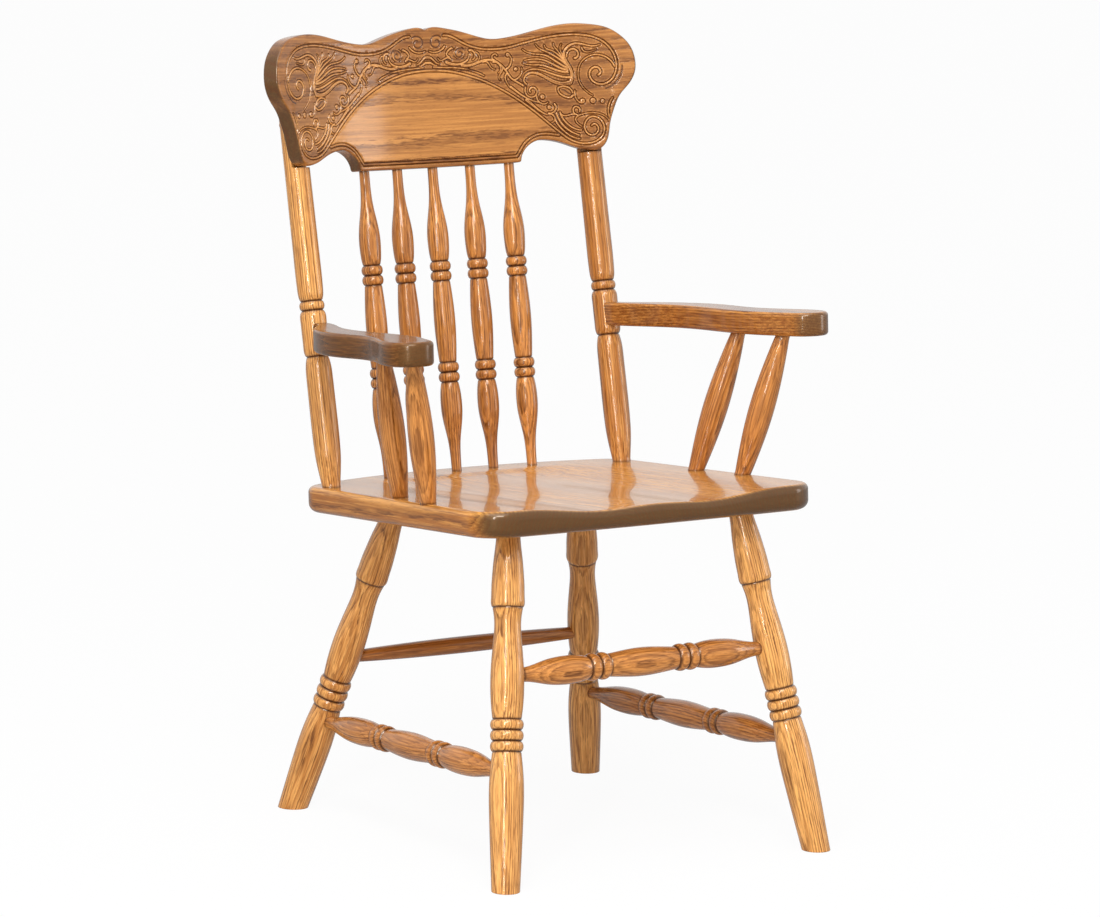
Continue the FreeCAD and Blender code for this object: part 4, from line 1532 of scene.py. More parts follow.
RAISED_LINES = (
    (BORDER, 1.5, 1.5), (ARCH, 1.6, 1.3), (NOTCH, 1.6, 1.6),
    (((123, 8.4), (90, 8.4), (40, 8.4), (-20, 8.4)), 1.6, 1.6),
    # ring round the great scroll
    (((269, 122), (262, 132.5), (249, 139), (235, 138), (223.5, 130), (218.5, 117), (219.5, 104),
      (226, 93), (236, 84.5)), 1.4, 0.8),
    # strip down the edge above the lower scroll
    (((263, 79), (258.5, 72), (256, 63), (257.5, 52)), 1.2, 1.2),
    (((214, 58), (226, 60.5), (239, 60), (250, 55.5), (256.5, 47)), 1.1, 0.8),
    # swan neck and its curl
    (((206, 103), (209.5, 113), (207.5, 124), (202.5, 134), (201, 145), (207, 153), (217, 156.5),
      (229, 154.5), (241, 151.5), (251, 153)), 2.6, 1),
    (((204.5, 139), (206.5, 146), (213, 149.5), (219.5, 146), (220, 139.5), (215, 136.5)), 1.2, 1.6),
    (((226, 150), (230, 144.5), (236, 144), (246, 146)), 1.2, 0.7),
    # lower leaf of the plume
    (((205, 104), (193, 103.5), (181, 108), (168, 116), (155, 120.5), (145, 117.5), (141.5, 110),
      (145, 105.5)), 2.8, 1.2),
    (((206, 111), (192, 113.5), (178, 119), (163, 124.5), (148, 124), (139, 115)), 1.8, 0.8),
    # feathers
    (((204, 118), (186, 123), (168, 130), (152, 131.5), (142, 134.5)), 1.8, 0.9),
    (((204, 121), (188, 128), (171, 137), (156, 139), (144, 137.5)), 1.7, 0.9),
    (((204, 124), (190, 133), (173, 143.5), (158, 146), (143, 153)), 1.7, 0.9),
    (((204, 127), (192, 138), (178, 147), (167, 153), (162, 159)), 1.6, 0.9),
    (((203, 130), (194, 141), (184, 149), (177, 152), (174, 157)), 1.5, 0.9),
    (((202, 133), (196, 142), (191, 150), (188, 154), (187, 159)), 1.4, 0.9),
    (((200, 137), (198, 143), (196, 149), (196, 153), (198, 157)), 1.3, 0.8),
    # curls and buds between the scrolls
    (spiral((152, 95.5), 3, 10.5, 200, -1.15), 1.3, 1.2),
    (((122, 103), (131, 95.5), (142, 87.5), (153, 82), (161, 79.5)), 1.8, 0.9),
    (((143, 84), (153, 75), (163, 66.5), (171, 62)), 2.2, 1),
    (((158, 88), (160, 81), (166.5, 77), (173, 79)), 1.4, 1),
    (((182, 76), (184, 70), (180, 65), (173, 64.5)), 1.5, 1),
    (((173, 63), (179, 61), (181, 55), (176, 51)), 1.4, 0.9),
    (((184, 63), (187, 54), (194, 44), (203, 36.5), (213, 31.5)), 1.7, 1.2),
    (((189, 64), (192.5, 55), (200, 46), (209, 40), (217, 38)), 1.6, 1.1),
    (((181, 56), (186, 46), (194, 37), (204, 29.5), (214, 26.5)), 1.4, 1),
    (((190, 62), (198, 59), (206, 60.5), (214, 58)), 1, 1.3),
    (((214, 58), (210, 52), (214, 46), (218, 43)), 1.2, 0.9),
    (((209, 61.5), (207.5, 66.5), (210.5, 70.5), (215.5, 69), (216.5, 63.5)), 1.3, 1.3),
    # shell leaf under the plume
    (((189, 98), (190, 91), (196, 86), (204, 83.5), (209, 86)), 1.2, 1.5),
    (((191, 98.5), (198, 99), (205, 96), (208.5, 90)), 1.3, 1.2),
    (((212, 92), (212, 84), (215, 78), (219, 75)), 1.2, 1),
    # sprays along the arch
    (((8, 135.5), (22, 134.5), (38, 133.5), (54, 131.5), (70, 127), (84, 120.5)), 1.1, 1.1),
    (((52, 136.5), (64, 135.5), (76, 138.5), (88, 141.5), (101, 139.5), (111, 132.5), (118, 123.5),
      (124, 114.5), (132, 109), (140, 103.5)), 2, 1.4),
    (((84, 139), (92, 137), (95.5, 131), (101, 128.5)), 1.3, 0.9),
    (((99, 138), (107, 135), (109.5, 128.5), (105.5, 123)), 1.3, 0.9),
    (((112, 131), (110, 124), (106, 118), (107.5, 113)), 1.3, 0.8),
    (((118, 122), (115, 114), (118, 107), (121, 102)), 1.3, 0.9),
    (((101, 141), (98, 146), (102, 149), (105.5, 146.5)), 1.2, 1.1),
    (((118, 128), (125, 136), (125.5, 143), (120.5, 147.5)), 1.5, 1),
    (((127, 112), (134, 115), (139, 121), (139.5, 128)), 1.4, 0.9),
    # scrolls of the middle
    (((13.8, 169.4), (14.2, 169.4)), 10.6, 10.6),
    (((49.3, 153.4), (49.7, 153.4)), 8.2, 8.2),
    (((29, 141.5), (40, 138), (52, 138.5), (61, 143), (64.5, 151)), 2.2, 1),
    (((65, 156), (71, 154), (73, 148), (69, 143)), 1.6, 1),
    (((74, 153), (79, 149), (79.5, 144.5), (77, 141)), 1.2, 0.8),
    (((39, 160), (33, 157), (30, 152), (34, 148.5)), 1.6, 1.1),
    (((28, 163), (22, 158), (13, 155.5), (3, 157.5)), 1.4, 0.9),
    (((36, 145), (28, 146.5), (21, 144), (16, 147.5)), 1.5, 0.9),
    (((0, 149), (6, 147.5), (11, 143), (18, 139.5)), 1.9, 0.9),
    (((0, 141.5), (5, 141), (9, 138.5), (14, 137.5)), 1.8, 0.9),
)
VEIN_LINES = (
    (((255, 92.5), (268, 98.5), (277, 110), (279.5, 122)), 0.6, 0.5),
    (((194, 95), (199, 93), (203, 89.5), (206, 88)), 0.5, 0.5),
    (((46, 128), (58, 129.5), (70, 128), (82, 124)), 0.5, 0.4),
    (((23, 175.5), (15, 178), (7.6, 174), (7.2, 166), (13.5, 162), (20, 165.5), (18.6, 171.5),
      (14, 171.4)), 0.55, 0.55),
    (((56, 158), (49.5, 159.6), (44, 155.4), (44.6, 149.2), (50.5, 147.4), (54.2, 151.8), (51, 155),
      (48.6, 153.4)), 0.55, 0.55),
)
BUDS = (
    (221.5, 77.5, 3.4), (236, 77, 3.6), (249, 75.5, 2.8), (166, 87, 3.2), (174.5, 72, 2.8),
    (131, 127, 2.6), (121, 147, 2.8),
)
PANEL_CORNER = (122.6, 8.4)
FIELD_CORNER = (0.0, 172.0)
FIELD_SIDE = ((262.0, 80.0), (257.0, 64.0), (257.0, 50.0))
LINE_STEP = 4.0  # distance between points of those outlines
BUD_HALF = 0.2  # half the length of the line that a round bud is drawn on


def all_strokes() -> tuple[Stroke, ...]:
    """Gathers the strokes of the carving, raised ones, veins and round buds.

    Returns:
        The strokes.
    """
    raised = [Stroke(*line) for line in RAISED_LINES]
    veins = [Stroke(*line, Mark.VEIN) for line in VEIN_LINES]
    buds = [
        Stroke(((along - BUD_HALF, up), (along + BUD_HALF, up)), size, size) for along, up, size in BUDS
    ]
    return (*raised, *veins, *buds)


@dataclass(frozen=True)
class Relief:
    """Traditional scroll and leaf carving of the crest rail.

    Lengths count from a raised edge, outside it above zero. A band is its middle and its
    half width.
    """

    depth: float = 2.1
    groove: float = 0.84
    groove_from_edge: float = 0.45
    dome: float = 0.75
    dome_width: float = 1.8
    dome_end: float = 0.5
    sink: float = 0.90
    sink_from: float = 0.2
    sink_width: float = 1.6
    vein: float = 0.6
    shade: float = 0.24
    shade_width: float = 1.5
    stain_power: float = 1.5
    # Rubbed stain and painted highlight: lighter bands just inside each raised edge and just beyond its
    # groove
    rub_and_highlight: float = 0.85
    rub_and_highlight_outside: float = 0.35
    rubbed_and_highlit_bands: Shares = ((-0.75, 0.5), (1.9, 0.45))
    fine_from_edge: float = 0.4
    reach: float = 8.0
    far: float = 50.0
    strokes: tuple[Stroke, ...] = all_strokes()

    def ground(self) -> Array:
        """Outline of the field between border and arch, on the right half."""
        top, low = (smooth_curve(np.array(line), LINE_STEP) for line in (BORDER[:16], ARCH[1:17]))
        return np.concatenate([[FIELD_CORNER], top, FIELD_SIDE, low[::-1]])

    def panel(self) -> Array:
        """Outline of the plain panel under the arch, on the right half."""
        arch, notch = (smooth_curve(np.array(line), LINE_STEP) for line in (ARCH[1:12], NOTCH))
        return np.concatenate([arch, notch, [PANEL_CORNER, (0.0, PANEL_CORNER[1])]])

    def outside(self, spots: Array, path: Array) -> Array:
        """Measures how far points lie outside a stroke.

        Args:
            spots: places along the bend and up.
            path: points along the stroke, with the half width at each.

        Returns:
            Distances from its edge, below 0 on the stroke.
        """
        best = np.full(len(spots), self.far)
        for first, second in zip(path[:-1], path[1:]):
            step = second[:2] - first[:2]
            share = np.clip(((spots - first[:2]) @ step) / max(step @ step, 1e-9), 0, 1)
            away = np.linalg.norm(spots - first[:2] - share[:, None] * step, axis=1)
            best = np.minimum(best, away - (first[2] + (second[2] - first[2]) * share))
        return best

    def measure(self, points: Array) -> tuple[Array, Array, Array]:
        """How the carving changes points of the rail's face.

        Args:
            points: places along the bend and up.

        Returns:
            The depth cut at each, a share for the stain and shade in it that is below 0 where the stain
            is rubbed off and a highlight is painted, and the distance from the nearest edge or vein.
        """
        right = np.column_stack([np.abs(points[:, 0]), points[:, 1]])
        edge, veins = np.full(len(right), self.far), np.full(len(right), self.far)
        for stroke in self.strokes:
            path = stroke.path()
            low, high = path[:, :2].min(axis=0) - self.reach, path[:, :2].max(axis=0) + self.reach
            near = np.flatnonzero(((right >= low) & (right <= high)).all(axis=1))
            target = edge if stroke.mark is Mark.RAISED else veins
            target[near] = np.minimum(target[near], self.outside(right[near], path))
        inside = even_odd(right, self.ground())
        trough = np.exp(-((edge - self.groove_from_edge) / self.groove) ** 2)
        dome = self.dome * np.clip(1 + edge / self.dome_width, 0, 1) ** 2 * (edge < self.dome_end)
        sunk = self.sink * inside * ease((edge - self.sink_from) / self.sink_width)
        scored = np.exp(-(np.maximum(veins, 0) / self.vein) ** 2)
        depth = np.maximum.reduce([self.depth * trough, dome, sunk, scored])
        shade = self.shade * inside * ease(edge / self.shade_width)
        stained = np.clip(np.maximum(trough, scored) ** self.stain_power + shade, 0, 1)
        # Painted highlight and rubbed stain, in bands along each raised edge
        rubbed_and_highlit = sum(np.exp(-((edge - middle) / half) ** 2) for middle, half in self.rubbed_and_highlit_bands)
        share = self.rub_and_highlight_outside + (1 - self.rub_and_highlight_outside) * inside
        stained -= self.rub_and_highlight * rubbed_and_highlit * (1 - stained) * share
        return depth, stained, np.minimum(np.abs(edge - self.fine_from_edge), np.abs(veins))


def even_odd(points: Array, outline: Array) -> Array:
    """Tells which points lie inside an outline.

    Args:
        points: the points.
        outline: the closed outline.

    Returns:
        1 for points inside, 0 for the others.
    """
    ends = np.roll(outline, -1, axis=0)
    crossings = np.zeros(len(points), int)
    for first, second in zip(outline, ends):
        if first[1] == second[1]:
            continue
        level = (points[:, 1] >= min(first[1], second[1])) & (points[:, 1] < max(first[1], second[1]))
        place = first[0] + (points[:, 1] - first[1]) * (second[0] - first[0]) / (second[1] - first[1])
        crossings += level & (place > points[:, 0])
    return (crossings % 2).astype(float)


@dataclass
class Crest:
    """Bent and scalloped crest rail."""

    thickness: float = 22.0
    bend: float = 553.0
    lean: float = 10.4
    height: float = 190.2
    half_length: float = 298.0
    bottom_height: float = 851.8
    bottom_reach: float = 272.4
    notch_half_length: float = 129.0
    arris: float = 3.0
    lobe_share: float = 0.048
    notch_round: float = 3.5
    notch_thinning: int = 4
    trim: float = 0.15
    curve_step: float = 2.2
    lower_points: int = 120
    grid: float = 9.0
    carving_grid: float = 0.8
    middling_every: int = 2
    middling_within: float = 3.0
    fine_within: float = 1.5
    coarse_every: int = 5
    face_fade: float = 0.6
    in_tree: Pair = (-55.0, 46.0)
    tone: float = 1.15
    panel_lighter: float = 0.95
    outline_shares: Shares = (
        (0.000, 0.980), (0.034, 0.999), (0.094, 0.991), (0.168, 0.966), (0.247, 0.928),
        (0.327, 0.896), (0.396, 0.898), (0.510, 0.927), (0.621, 0.961), (0.728, 0.971),
        (0.805, 0.957), (0.881, 0.925), (0.945, 0.856), (0.983, 0.780), (1.000, 0.692),
        (0.998, 0.604), (0.964, 0.507), (0.921, 0.437), (0.888, 0.339), (0.864, 0.231),
        (0.853, 0.149), (0.833, 0.087), (0.799, 0.052), (0.760, 0.053), (0.708, 0.073),
        (0.638, 0.118), (0.570, 0.146), (0.527, 0.149), (0.483, 0.124),
    )
    relief: Relief = Relief()

    @property
    def frame(self) -> Frame:
        """Middle of the lower edge of the front face."""
        return Frame((0.0, self.bottom_reach, self.bottom_height), self.lean)

    def bent(self, along: Array, up: Array, depth: Array) -> Array:
        """Points along the bend and up, at depths behind the front face, in the chair's frame."""
        across, back = (part(along / self.bend) * (self.bend + depth) for part in (np.sin, np.cos))
        return self.frame.out(np.column_stack([across, back - self.bend, up]))

    def point(self, along: float, up: float, depth: float) -> Array:
        """One such point."""
        return self.bent(np.array([along]), np.array([up]), np.array([depth]))[0]

    def outline(self) -> Array:
        """Draws the scalloped outline, laid flat.

        Returns:
            The closed outline.
        """
        shares = np.array(self.outline_shares) * np.array([self.half_length, self.height])
        notch = np.array([self.notch_half_length, 0.0])
        right = smooth_curve(np.concatenate([shares, [notch]]), self.curve_step)
        far = np.linalg.norm(right - notch, axis=1) > 2 * self.notch_round
        turned = rounded_corner(right[far][-1], notch, -notch, self.notch_round)[::self.notch_thinning]
        right = np.concatenate([right[far], turned])
        left = right[::-1] * np.array([-1.0, 1.0])
        low = np.linspace(turned[-1, 0], -turned[-1, 0], self.lower_points)[1:-1]
        lower = np.column_stack([low, np.zeros(len(low))])
        return inset(tidy_loop(np.concatenate([right[1:], lower, left[:-1], right[:1]])), self.trim)

    def near_carving(self, steps: Array, spots: Array) -> Array:
        """Chooses the grid points that the carving needs, the others on a coarse grid.

        Args:
            steps: the points' numbers in the grid.
            spots: their places.

        Returns:
            Whether each is kept.
        """
        _, _, away = self.relief.measure(spots)
        coarse = (steps % self.coarse_every == 0).all(axis=1)
        middling = (steps % self.middling_every == 0).all(axis=1)
        return coarse | (middling & (away < self.middling_within)) | (away < self.fine_within)

    def build(self, finish: Material) -> None:
        """Builds the rail with its carving and dresses it.

        Args:
            finish: its material.
        """
        board = Board(
            self.outline(), self.thickness, self.arris, self.arris, self.grid, self.carving_grid,
            self.near_carving,
        )
        local, faces = board.build()
        depth, stained, _ = self.relief.measure(local[:, :2])
        front = ease(1 + local[:, 2] / self.face_fade)
        points = self.bent(local[:, 0], local[:, 1], depth * front - local[:, 2])
        angle = local[:, 0] / self.bend
        grain = np.column_stack([np.cos(angle), -np.sin(angle), np.zeros(len(angle))]) @ self.frame.turn().T
        across, out = self.in_tree
        places = np.column_stack([local[:, 1] + across, local[:, 2] + out, local[:, 0]])
        flat = np.column_stack([np.abs(local[:, 0]), local[:, 1]])
        tone = self.tone - self.panel_lighter * front * even_odd(flat, self.relief.panel())
        shape = Shape(points, faces, places, grain, stained * front, tone)
        dress(shape.make("oak_crest_rail", finish), "oak_crest", "crest_rail")


@dataclass
class Back:
    """Turned posts and spindles that carry the crest rail."""

    seat: Seat
    crest: Crest
    lathe: Lathe
    spindle_lathe: Lathe
    fit: float = 0.1
    collar: float = 3.0
    half_spacing: float = 231.8
    from_back: float = 97.0
    top_half_spacing: float = 233.0
    behind_crest: float = 3.0
    lap_length: float = 82.0
    post_foot: float = 25.0
    post_swell: float = 36.0
    post_groove: float = 28.8
    post_block: float = 35.0
    post_ring: float = 33.6
    post_ring_neck: float = 29.0
    post_ring_width: float = 12.5
    post_shaft: float = 35.0
    post_head: float = 34.0
    swell_length: float = 174.0
    block_length: float = 61.5
    post_tenon: float = 22.0
    spindle_pitch: float = 57.3
    spindle_top_pitch: float = 57.0
    spindle_from_back: float = 41.6
    row_radius: float = 618.0
    spindle_sizes: BeadedSizes = BeadedSizes(13.6, 29.0, 29.0, 23.2, 28.7, 13.5)
    spindle_foot_length: float = 120.5
    spindle_head_length: float = 126.5
    spindle_tenon: float = 18.0
    post_facets: int = 64
    spindle_facets: int = 48
    left_tone: float = 0.2
    right_tone: float = 1.3
    swell_shares: Shares = (
        (0.10, 0.42), (0.20, 0.77), (0.31, 0.94), (0.47, 1.00), (0.66, 0.97), (0.83, 0.94), (0.93, 0.80),
    )
    block_shares: Shares = (
        (0.04, 0.50), (0.10, 0.84), (0.25, 0.96), (0.50, 0.98), (0.78, 1.00), (0.92, 0.84),
    )
    shaft_shares: Shares = ((0.03, 0.60), (0.08, 0.90), (0.35, 1.00), (0.75, 0.90))
    foot_shares: Shares = (
        (0.18, 0.06), (0.31, 0.21), (0.42, 0.46), (0.54, 0.77), (0.66, 0.97), (0.78, 1.00), (0.90, 0.88),
    )
    waist_shares: Shares = ((0.20, 0.60), (0.50, 1.00), (0.80, 0.60))
    head_shares: Shares = (
        (0.05, 0.80), (0.15, 0.95), (0.26, 1.00), (0.38, 0.88), (0.49, 0.63), (0.60, 0.34), (0.72, 0.12),
        (0.85, 0.02),
    )

    def post_ends(self, side: Side) -> tuple[Array, Array]:
        """Finds the ends of a post's bare length.

        Args:
            side: its side.

        Returns:
            Points of its axis on the seat, and at the lowest edge of the crest rail.
        """
        foot = self.seat.point(side.value * self.half_spacing, self.seat.depth - self.from_back, 0.0)
        radius = self.crest.bend + self.crest.thickness + self.behind_crest
        along = self.crest.bend * math.asin(self.top_half_spacing / radius)
        head = self.crest.point(
            side.value * along, self.crest.height * self.crest.lobe_share,
            self.crest.thickness + self.behind_crest,
        )
        return foot, head

    def post(self, side: Side) -> None:
        """Turns a post and flattens it where the crest rail lies on it.

        Args:
            side: its side.
        """
        foot, head = self.post_ends(side)
        length = float(np.linalg.norm(head - foot))
        shaft = length - self.swell_length - self.block_length - self.post_ring_width
        outline = Outline(self.post_foot, -self.post_tenon)
        outline.line(self.post_foot, self.post_tenon + self.collar)
        outline.swell(
            self.swell_shares, self.post_foot, self.post_swell, self.post_groove,
            self.swell_length - self.collar,
        )
        outline.cut()
        outline.swell(
            self.block_shares, self.post_groove, self.post_block, self.post_ring_neck, self.block_length
        )
        outline.beads(self.post_ring, self.post_ring_neck, self.post_ring_width, 1)
        outline.swell(self.shaft_shares, self.post_ring_neck, self.post_shaft, self.post_head, shaft)
        outline.line(self.post_head, self.lap_length)
        outline.joints.append(0.0)
        shape = self.lathe.piece(outline, foot, head, self.post_facets)
        shape.darken(self.seat.frame.into(shape.points)[:, 2])
        local = self.crest.frame.into(shape.points)
        flat = self.crest.thickness + self.fit
        reach = np.hypot(local[:, 0], local[:, 1] + self.crest.bend)
        lapped = local[:, 2] > self.crest.height * self.crest.lobe_share - self.fit
        lapped &= reach < self.crest.bend + flat
        grow = (self.crest.bend + flat) / reach[lapped]
        local[lapped, 0] *= grow
        local[lapped, 1] = (local[lapped, 1] + self.crest.bend) * grow - self.crest.bend
        shape.points = self.crest.frame.out(local)
        shape.tone = self.left_tone if side is Side.LEFT else self.right_tone
        self.lathe.hand_over(shape, f"post_{side.word}")

    def spindle(self, index: int) -> None:
        """Turns one spindle.

        Args:
            index: its number from the left, the middle one being 0.
        """
        x = self.spindle_pitch * index
        drop = self.row_radius - math.sqrt(self.row_radius ** 2 - x ** 2)
        foot = self.seat.point(x, self.seat.depth - self.spindle_from_back - drop, 0.0)
        head = self.crest.point(self.spindle_top_pitch * index, 0.0, self.crest.thickness / 2)
        length = float(np.linalg.norm(head - foot))
        beads = 2 * self.spindle_sizes.bead_width
        waist = length - self.spindle_foot_length - self.spindle_head_length - 2 * beads
        outline = Outline(self.spindle_sizes.end, -self.spindle_tenon)
        outline.beaded(
            self.spindle_sizes, (self.foot_shares, self.waist_shares, self.head_shares),
            (self.spindle_foot_length - self.collar, waist, self.spindle_head_length - self.collar),
            self.spindle_tenon + self.collar,
        )
        outline.joints += [0.0, length]
        shape = self.spindle_lathe.piece(outline, foot, head, self.spindle_facets)
        for board in (self.seat, self.crest):
            shape.darken(board.frame.into(shape.points)[:, 2])
        self.spindle_lathe.hand_over(shape, f"spindle_{index + 3}")

    def build(self) -> None:
        """Builds posts and spindles."""
        for side in Side:
            self.post(side)
        for index in range(-2, 3):
            self.spindle(index)


@dataclass
class Arms:
    """Shaped arms and the turned spindles under them."""

    seat: Seat
    back: Back
    lathe: Lathe
    thickness: float = 31.5
    height_on_post: float = 188.0
    length: float = 390.0
    spread: float = 106.5
    arris: float = 5.0
    cope_room: float = 2.0
    from_front: Pair = (167.5, 257.5)
    half_spacing: Pair = (247.0, 233.7)
    on_arm: Pair = (335.0, 246.5)
    out_on_arm: Pair = (56.7, 46.8)
    foot: float = 21.5
    swell: float = 33.6
    head: float = 19.0
    tenon: float = 18.0
    curve_step: float = 2.5
    closing_points: int = 8
    corner_room: float = 7.0
    grid: float = 5.0
    in_tree: tuple[float, float, float] = (50.0, 120.0, 700.0)
    # Painted shade: the arm's sides are drawn darker from a little below the top, fading in over so many
    # millimetres
    top_edge: float = 1.5
    side_shade_fade: float = 5.0
    end_from: float = 0.22
    spindle_shares: Shares = ((0.20, 0.62), (0.44, 1.00), (0.70, 0.74))
    outline_shares: Shares = (
        (0.10, 0.000), (0.10, 0.050), (0.30, 0.130), (0.51, 0.215), (0.70, 0.350),
        (0.74, 0.470), (0.71, 0.590), (0.76, 0.700), (0.90, 0.800), (1.00, 0.895),
        (0.95, 0.965), (0.73, 1.000), (0.51, 0.975), (0.40, 0.905), (0.29, 0.810),
        (0.24, 0.700), (0.25, 0.560), (0.27, 0.440), (0.22, 0.310), (0.09, 0.205),
        (-0.05, 0.110), (-0.10, 0.050), (-0.10, 0.000),
    )

    def frame(self, side: Side) -> Frame:
        """Finds where an arm lies.

        Args:
            side: its side.

        Returns:
            Frame on the post's axis at the arm's underside, tilted as the seat is.
        """
        foot, head = self.back.post_ends(side)
        up = (head - foot) / np.linalg.norm(head - foot)
        origin = foot + up * self.height_on_post
        return Frame(tuple(float(part) for part in origin), self.seat.tilt)

    def cope(self, side: Side, points: Array, local: Array) -> None:
        """Cuts the rear end of an arm to the round of its post.

        Args:
            side: its side.
            points: the arm's points, which are moved.
            local: the same points in the arm's own frame.
        """
        foot, head = self.back.post_ends(side)
        axis = (head - foot) / np.linalg.norm(head - foot)
        forward = self.frame(side).turn() @ np.array([0.0, -1.0, 0.0])
        reach = self.back.post_block / 2 + 3 * self.back.fit
        for i in np.flatnonzero(np.abs(local[:, 1]) < reach + self.cope_room):
            from_axis = points[i] - foot - axis * np.dot(points[i] - foot, axis)
            if np.linalg.norm(from_axis) < reach:
                level = forward - axis * np.dot(forward, axis)
                a, b = level @ level, from_axis @ level
                c = from_axis @ from_axis - reach ** 2
                points[i] += forward * ((-b + math.sqrt(b * b - a * c)) / a)

    def arm(self, side: Side, finish: Material) -> None:
        """Saws one arm and copes it round its post.

        Args:
            side: its side.
            finish: its material.
        """
        shares = np.array(self.outline_shares) * np.array([self.spread, self.length])
        curve = smooth_curve(shares, self.curve_step)
        steps = np.linspace(0, 1, self.closing_points)[1:-1, None]
        outline = np.concatenate([curve, curve[-1] + steps * (curve[0] - curve[-1])])
        outline = tidy_loop(outline * np.array([side.value, -1.0]), self.corner_room)
        board = Board(outline, self.thickness, self.arris, self.arris, self.grid, self.grid)
        local, faces = board.build()
        local[:, 2] += self.thickness
        frame = self.frame(side)
        points = frame.out(local)
        self.cope(side, points, local)
        across, out, along = self.in_tree
        places = np.column_stack([
            local[:, 0] - across * side.value, local[:, 2] + out, local[:, 1] + along * side.value
        ])
        grain = frame.turn() @ np.array([0.0, 1.0, 0.0])
        # Painted shade on the sides below the top edge
        tone = ease((self.thickness - self.top_edge - local[:, 2]) / self.side_shade_fade)
        shape = Shape(points, faces, places, grain, tone=tone, end_from=self.end_from)
        dress(shape.make(f"oak_arm_{side.word}", finish), "oak_arm", f"arm_{side.word}")

    def spindle(self, side: Side, index: int) -> None:
        """Turns a spindle under an arm.

        Args:
            side: its side.
            index: 0 for the front one, 1 for the rear one.
        """
        foot = self.seat.point(side.value * self.half_spacing[index], self.from_front[index], 0.0)
        head = self.frame(side).out(
            np.array([side.value * self.out_on_arm[index], -self.on_arm[index], 0.0])
        )
        length = float(np.linalg.norm(head - foot))
        collar = self.back.collar
        outline = Outline(self.foot, -self.tenon)
        outline.line(self.foot, self.tenon + collar)
        outline.swell(self.spindle_shares, self.foot, self.swell, self.head, length - 2 * collar)
        outline.line(self.head, collar + self.tenon)
        outline.joints += [0.0, length]
        shape = self.lathe.piece(outline, foot, head)
        for frame in (self.seat.frame, self.frame(side)):
            shape.darken(frame.into(shape.points)[:, 2])
        self.lathe.hand_over(shape, f"arm_spindle_{side.word}_{'rear' if index else 'front'}")

    def build(self, finishes: dict[Side, Material]) -> None:
        """Builds both arms and their spindles.

        Args:
            finishes: material of the arm on each side, the left one a darker copy with painted shade.
        """
        for side in Side:
            self.arm(side, finishes[side])
            for index in (0, 1):
                self.spindle(side, index)


@dataclass
class Fasteners:
    """Screws and wood plugs, kept from the frame."""

    nodes: dict[str, Object]

    def build(self, plug: Material, steel: Material) -> None:
        """Gives the kept nodes their finishes.

        Args:
            plug: material of the plugs.
            steel: material of the screws.
        """
        for side in Side:
            for name, finish in ((f"plugs_{side.word}", plug), (f"screws_{side.word}", steel)):
                mesh = self.nodes[name].data
                mesh.materials.clear()
                mesh.materials.append(finish)
                mesh.shade_smooth()
                log.info("%s keeps its node", name)


# The studio


@dataclass(frozen=True)
class SoftBox:
    """Rectangular lamp, in metres and watts, that looks at a point."""

    name: str
    place: Spot
    size: Pair
    power: float
    aim: Spot = (0.0, 0.0, 0.55)

    def build(self) -> None:
        """Hangs the lamp."""
        light = bpy.data.lights.new(self.name, "AREA")
        light.shape = "RECTANGLE"
        light.size, light.size_y = self.size
        light.energy = self.power
        lamp = stand(self.name, light)
        lamp.location = self.place
        heading = Vector(self.aim) - Vector(self.place)
        lamp.rotation_euler = heading.to_track_quat("-Z", "Y").to_euler()


@dataclass(frozen=True)
class EvenLight:
    """Light from overhead that lights the floor alike to its end.

    Its heading is the way the light goes, its power is in watts to the square metre, and its
    angle is how wide its source looks, in degrees.
    """

    name: str = "overhead"
    heading: Spot = (0.25, 0.2, -1.0)
    power: float = 1.35
    angle: float = 50.0

    def build(self) -> None:
        """Hangs the light."""
        light = bpy.data.lights.new(self.name, "SUN")
        light.energy = self.power
        light.angle = math.radians(self.angle)
        heading = Vector(self.heading)
        stand(self.name, light).rotation_euler = heading.to_track_quat("-Z", "Y").to_euler()


@dataclass(frozen=True)
class View:
    """Camera where the photograph was taken, its angles in degrees and its place in metres."""

    name: str = "photograph_view"
    azimuth: float = -33.395370
    elevation: float = 9.610164
    roll: float = 1.2
    place: Spot = (-4.288239, -6.525850, 1.816390)
    focal_pixels: float = 5976.692828
    width_pixels: float = 1100.0
    sensor: float = 36.0
    clip_end: float = 200.0

    def build(self) -> None:
        """Stands the camera in its place."""
        azimuth, elevation, roll = map(math.radians, (self.azimuth, self.elevation, self.roll))
        back = Vector((
            math.sin(azimuth) * math.cos(elevation), -math.cos(azimuth) * math.cos(elevation),
            math.sin(elevation),
        ))
        level = Vector((math.cos(azimuth), math.sin(azimuth), 0.0))
        steep = back.cross(level)
        right = math.cos(roll) * level + math.sin(roll) * steep
        up = -math.sin(roll) * level + math.cos(roll) * steep
        data = bpy.data.cameras.new(self.name)
        data.sensor_width = self.sensor
        data.lens = self.sensor * self.focal_pixels / self.width_pixels
        data.clip_end = self.clip_end
        camera = stand(self.name, data)
        turn = Matrix((right, up, back)).transposed().to_4x4()
        camera.matrix_world = Matrix.Translation(self.place) @ turn
        bpy.context.scene.camera = camera


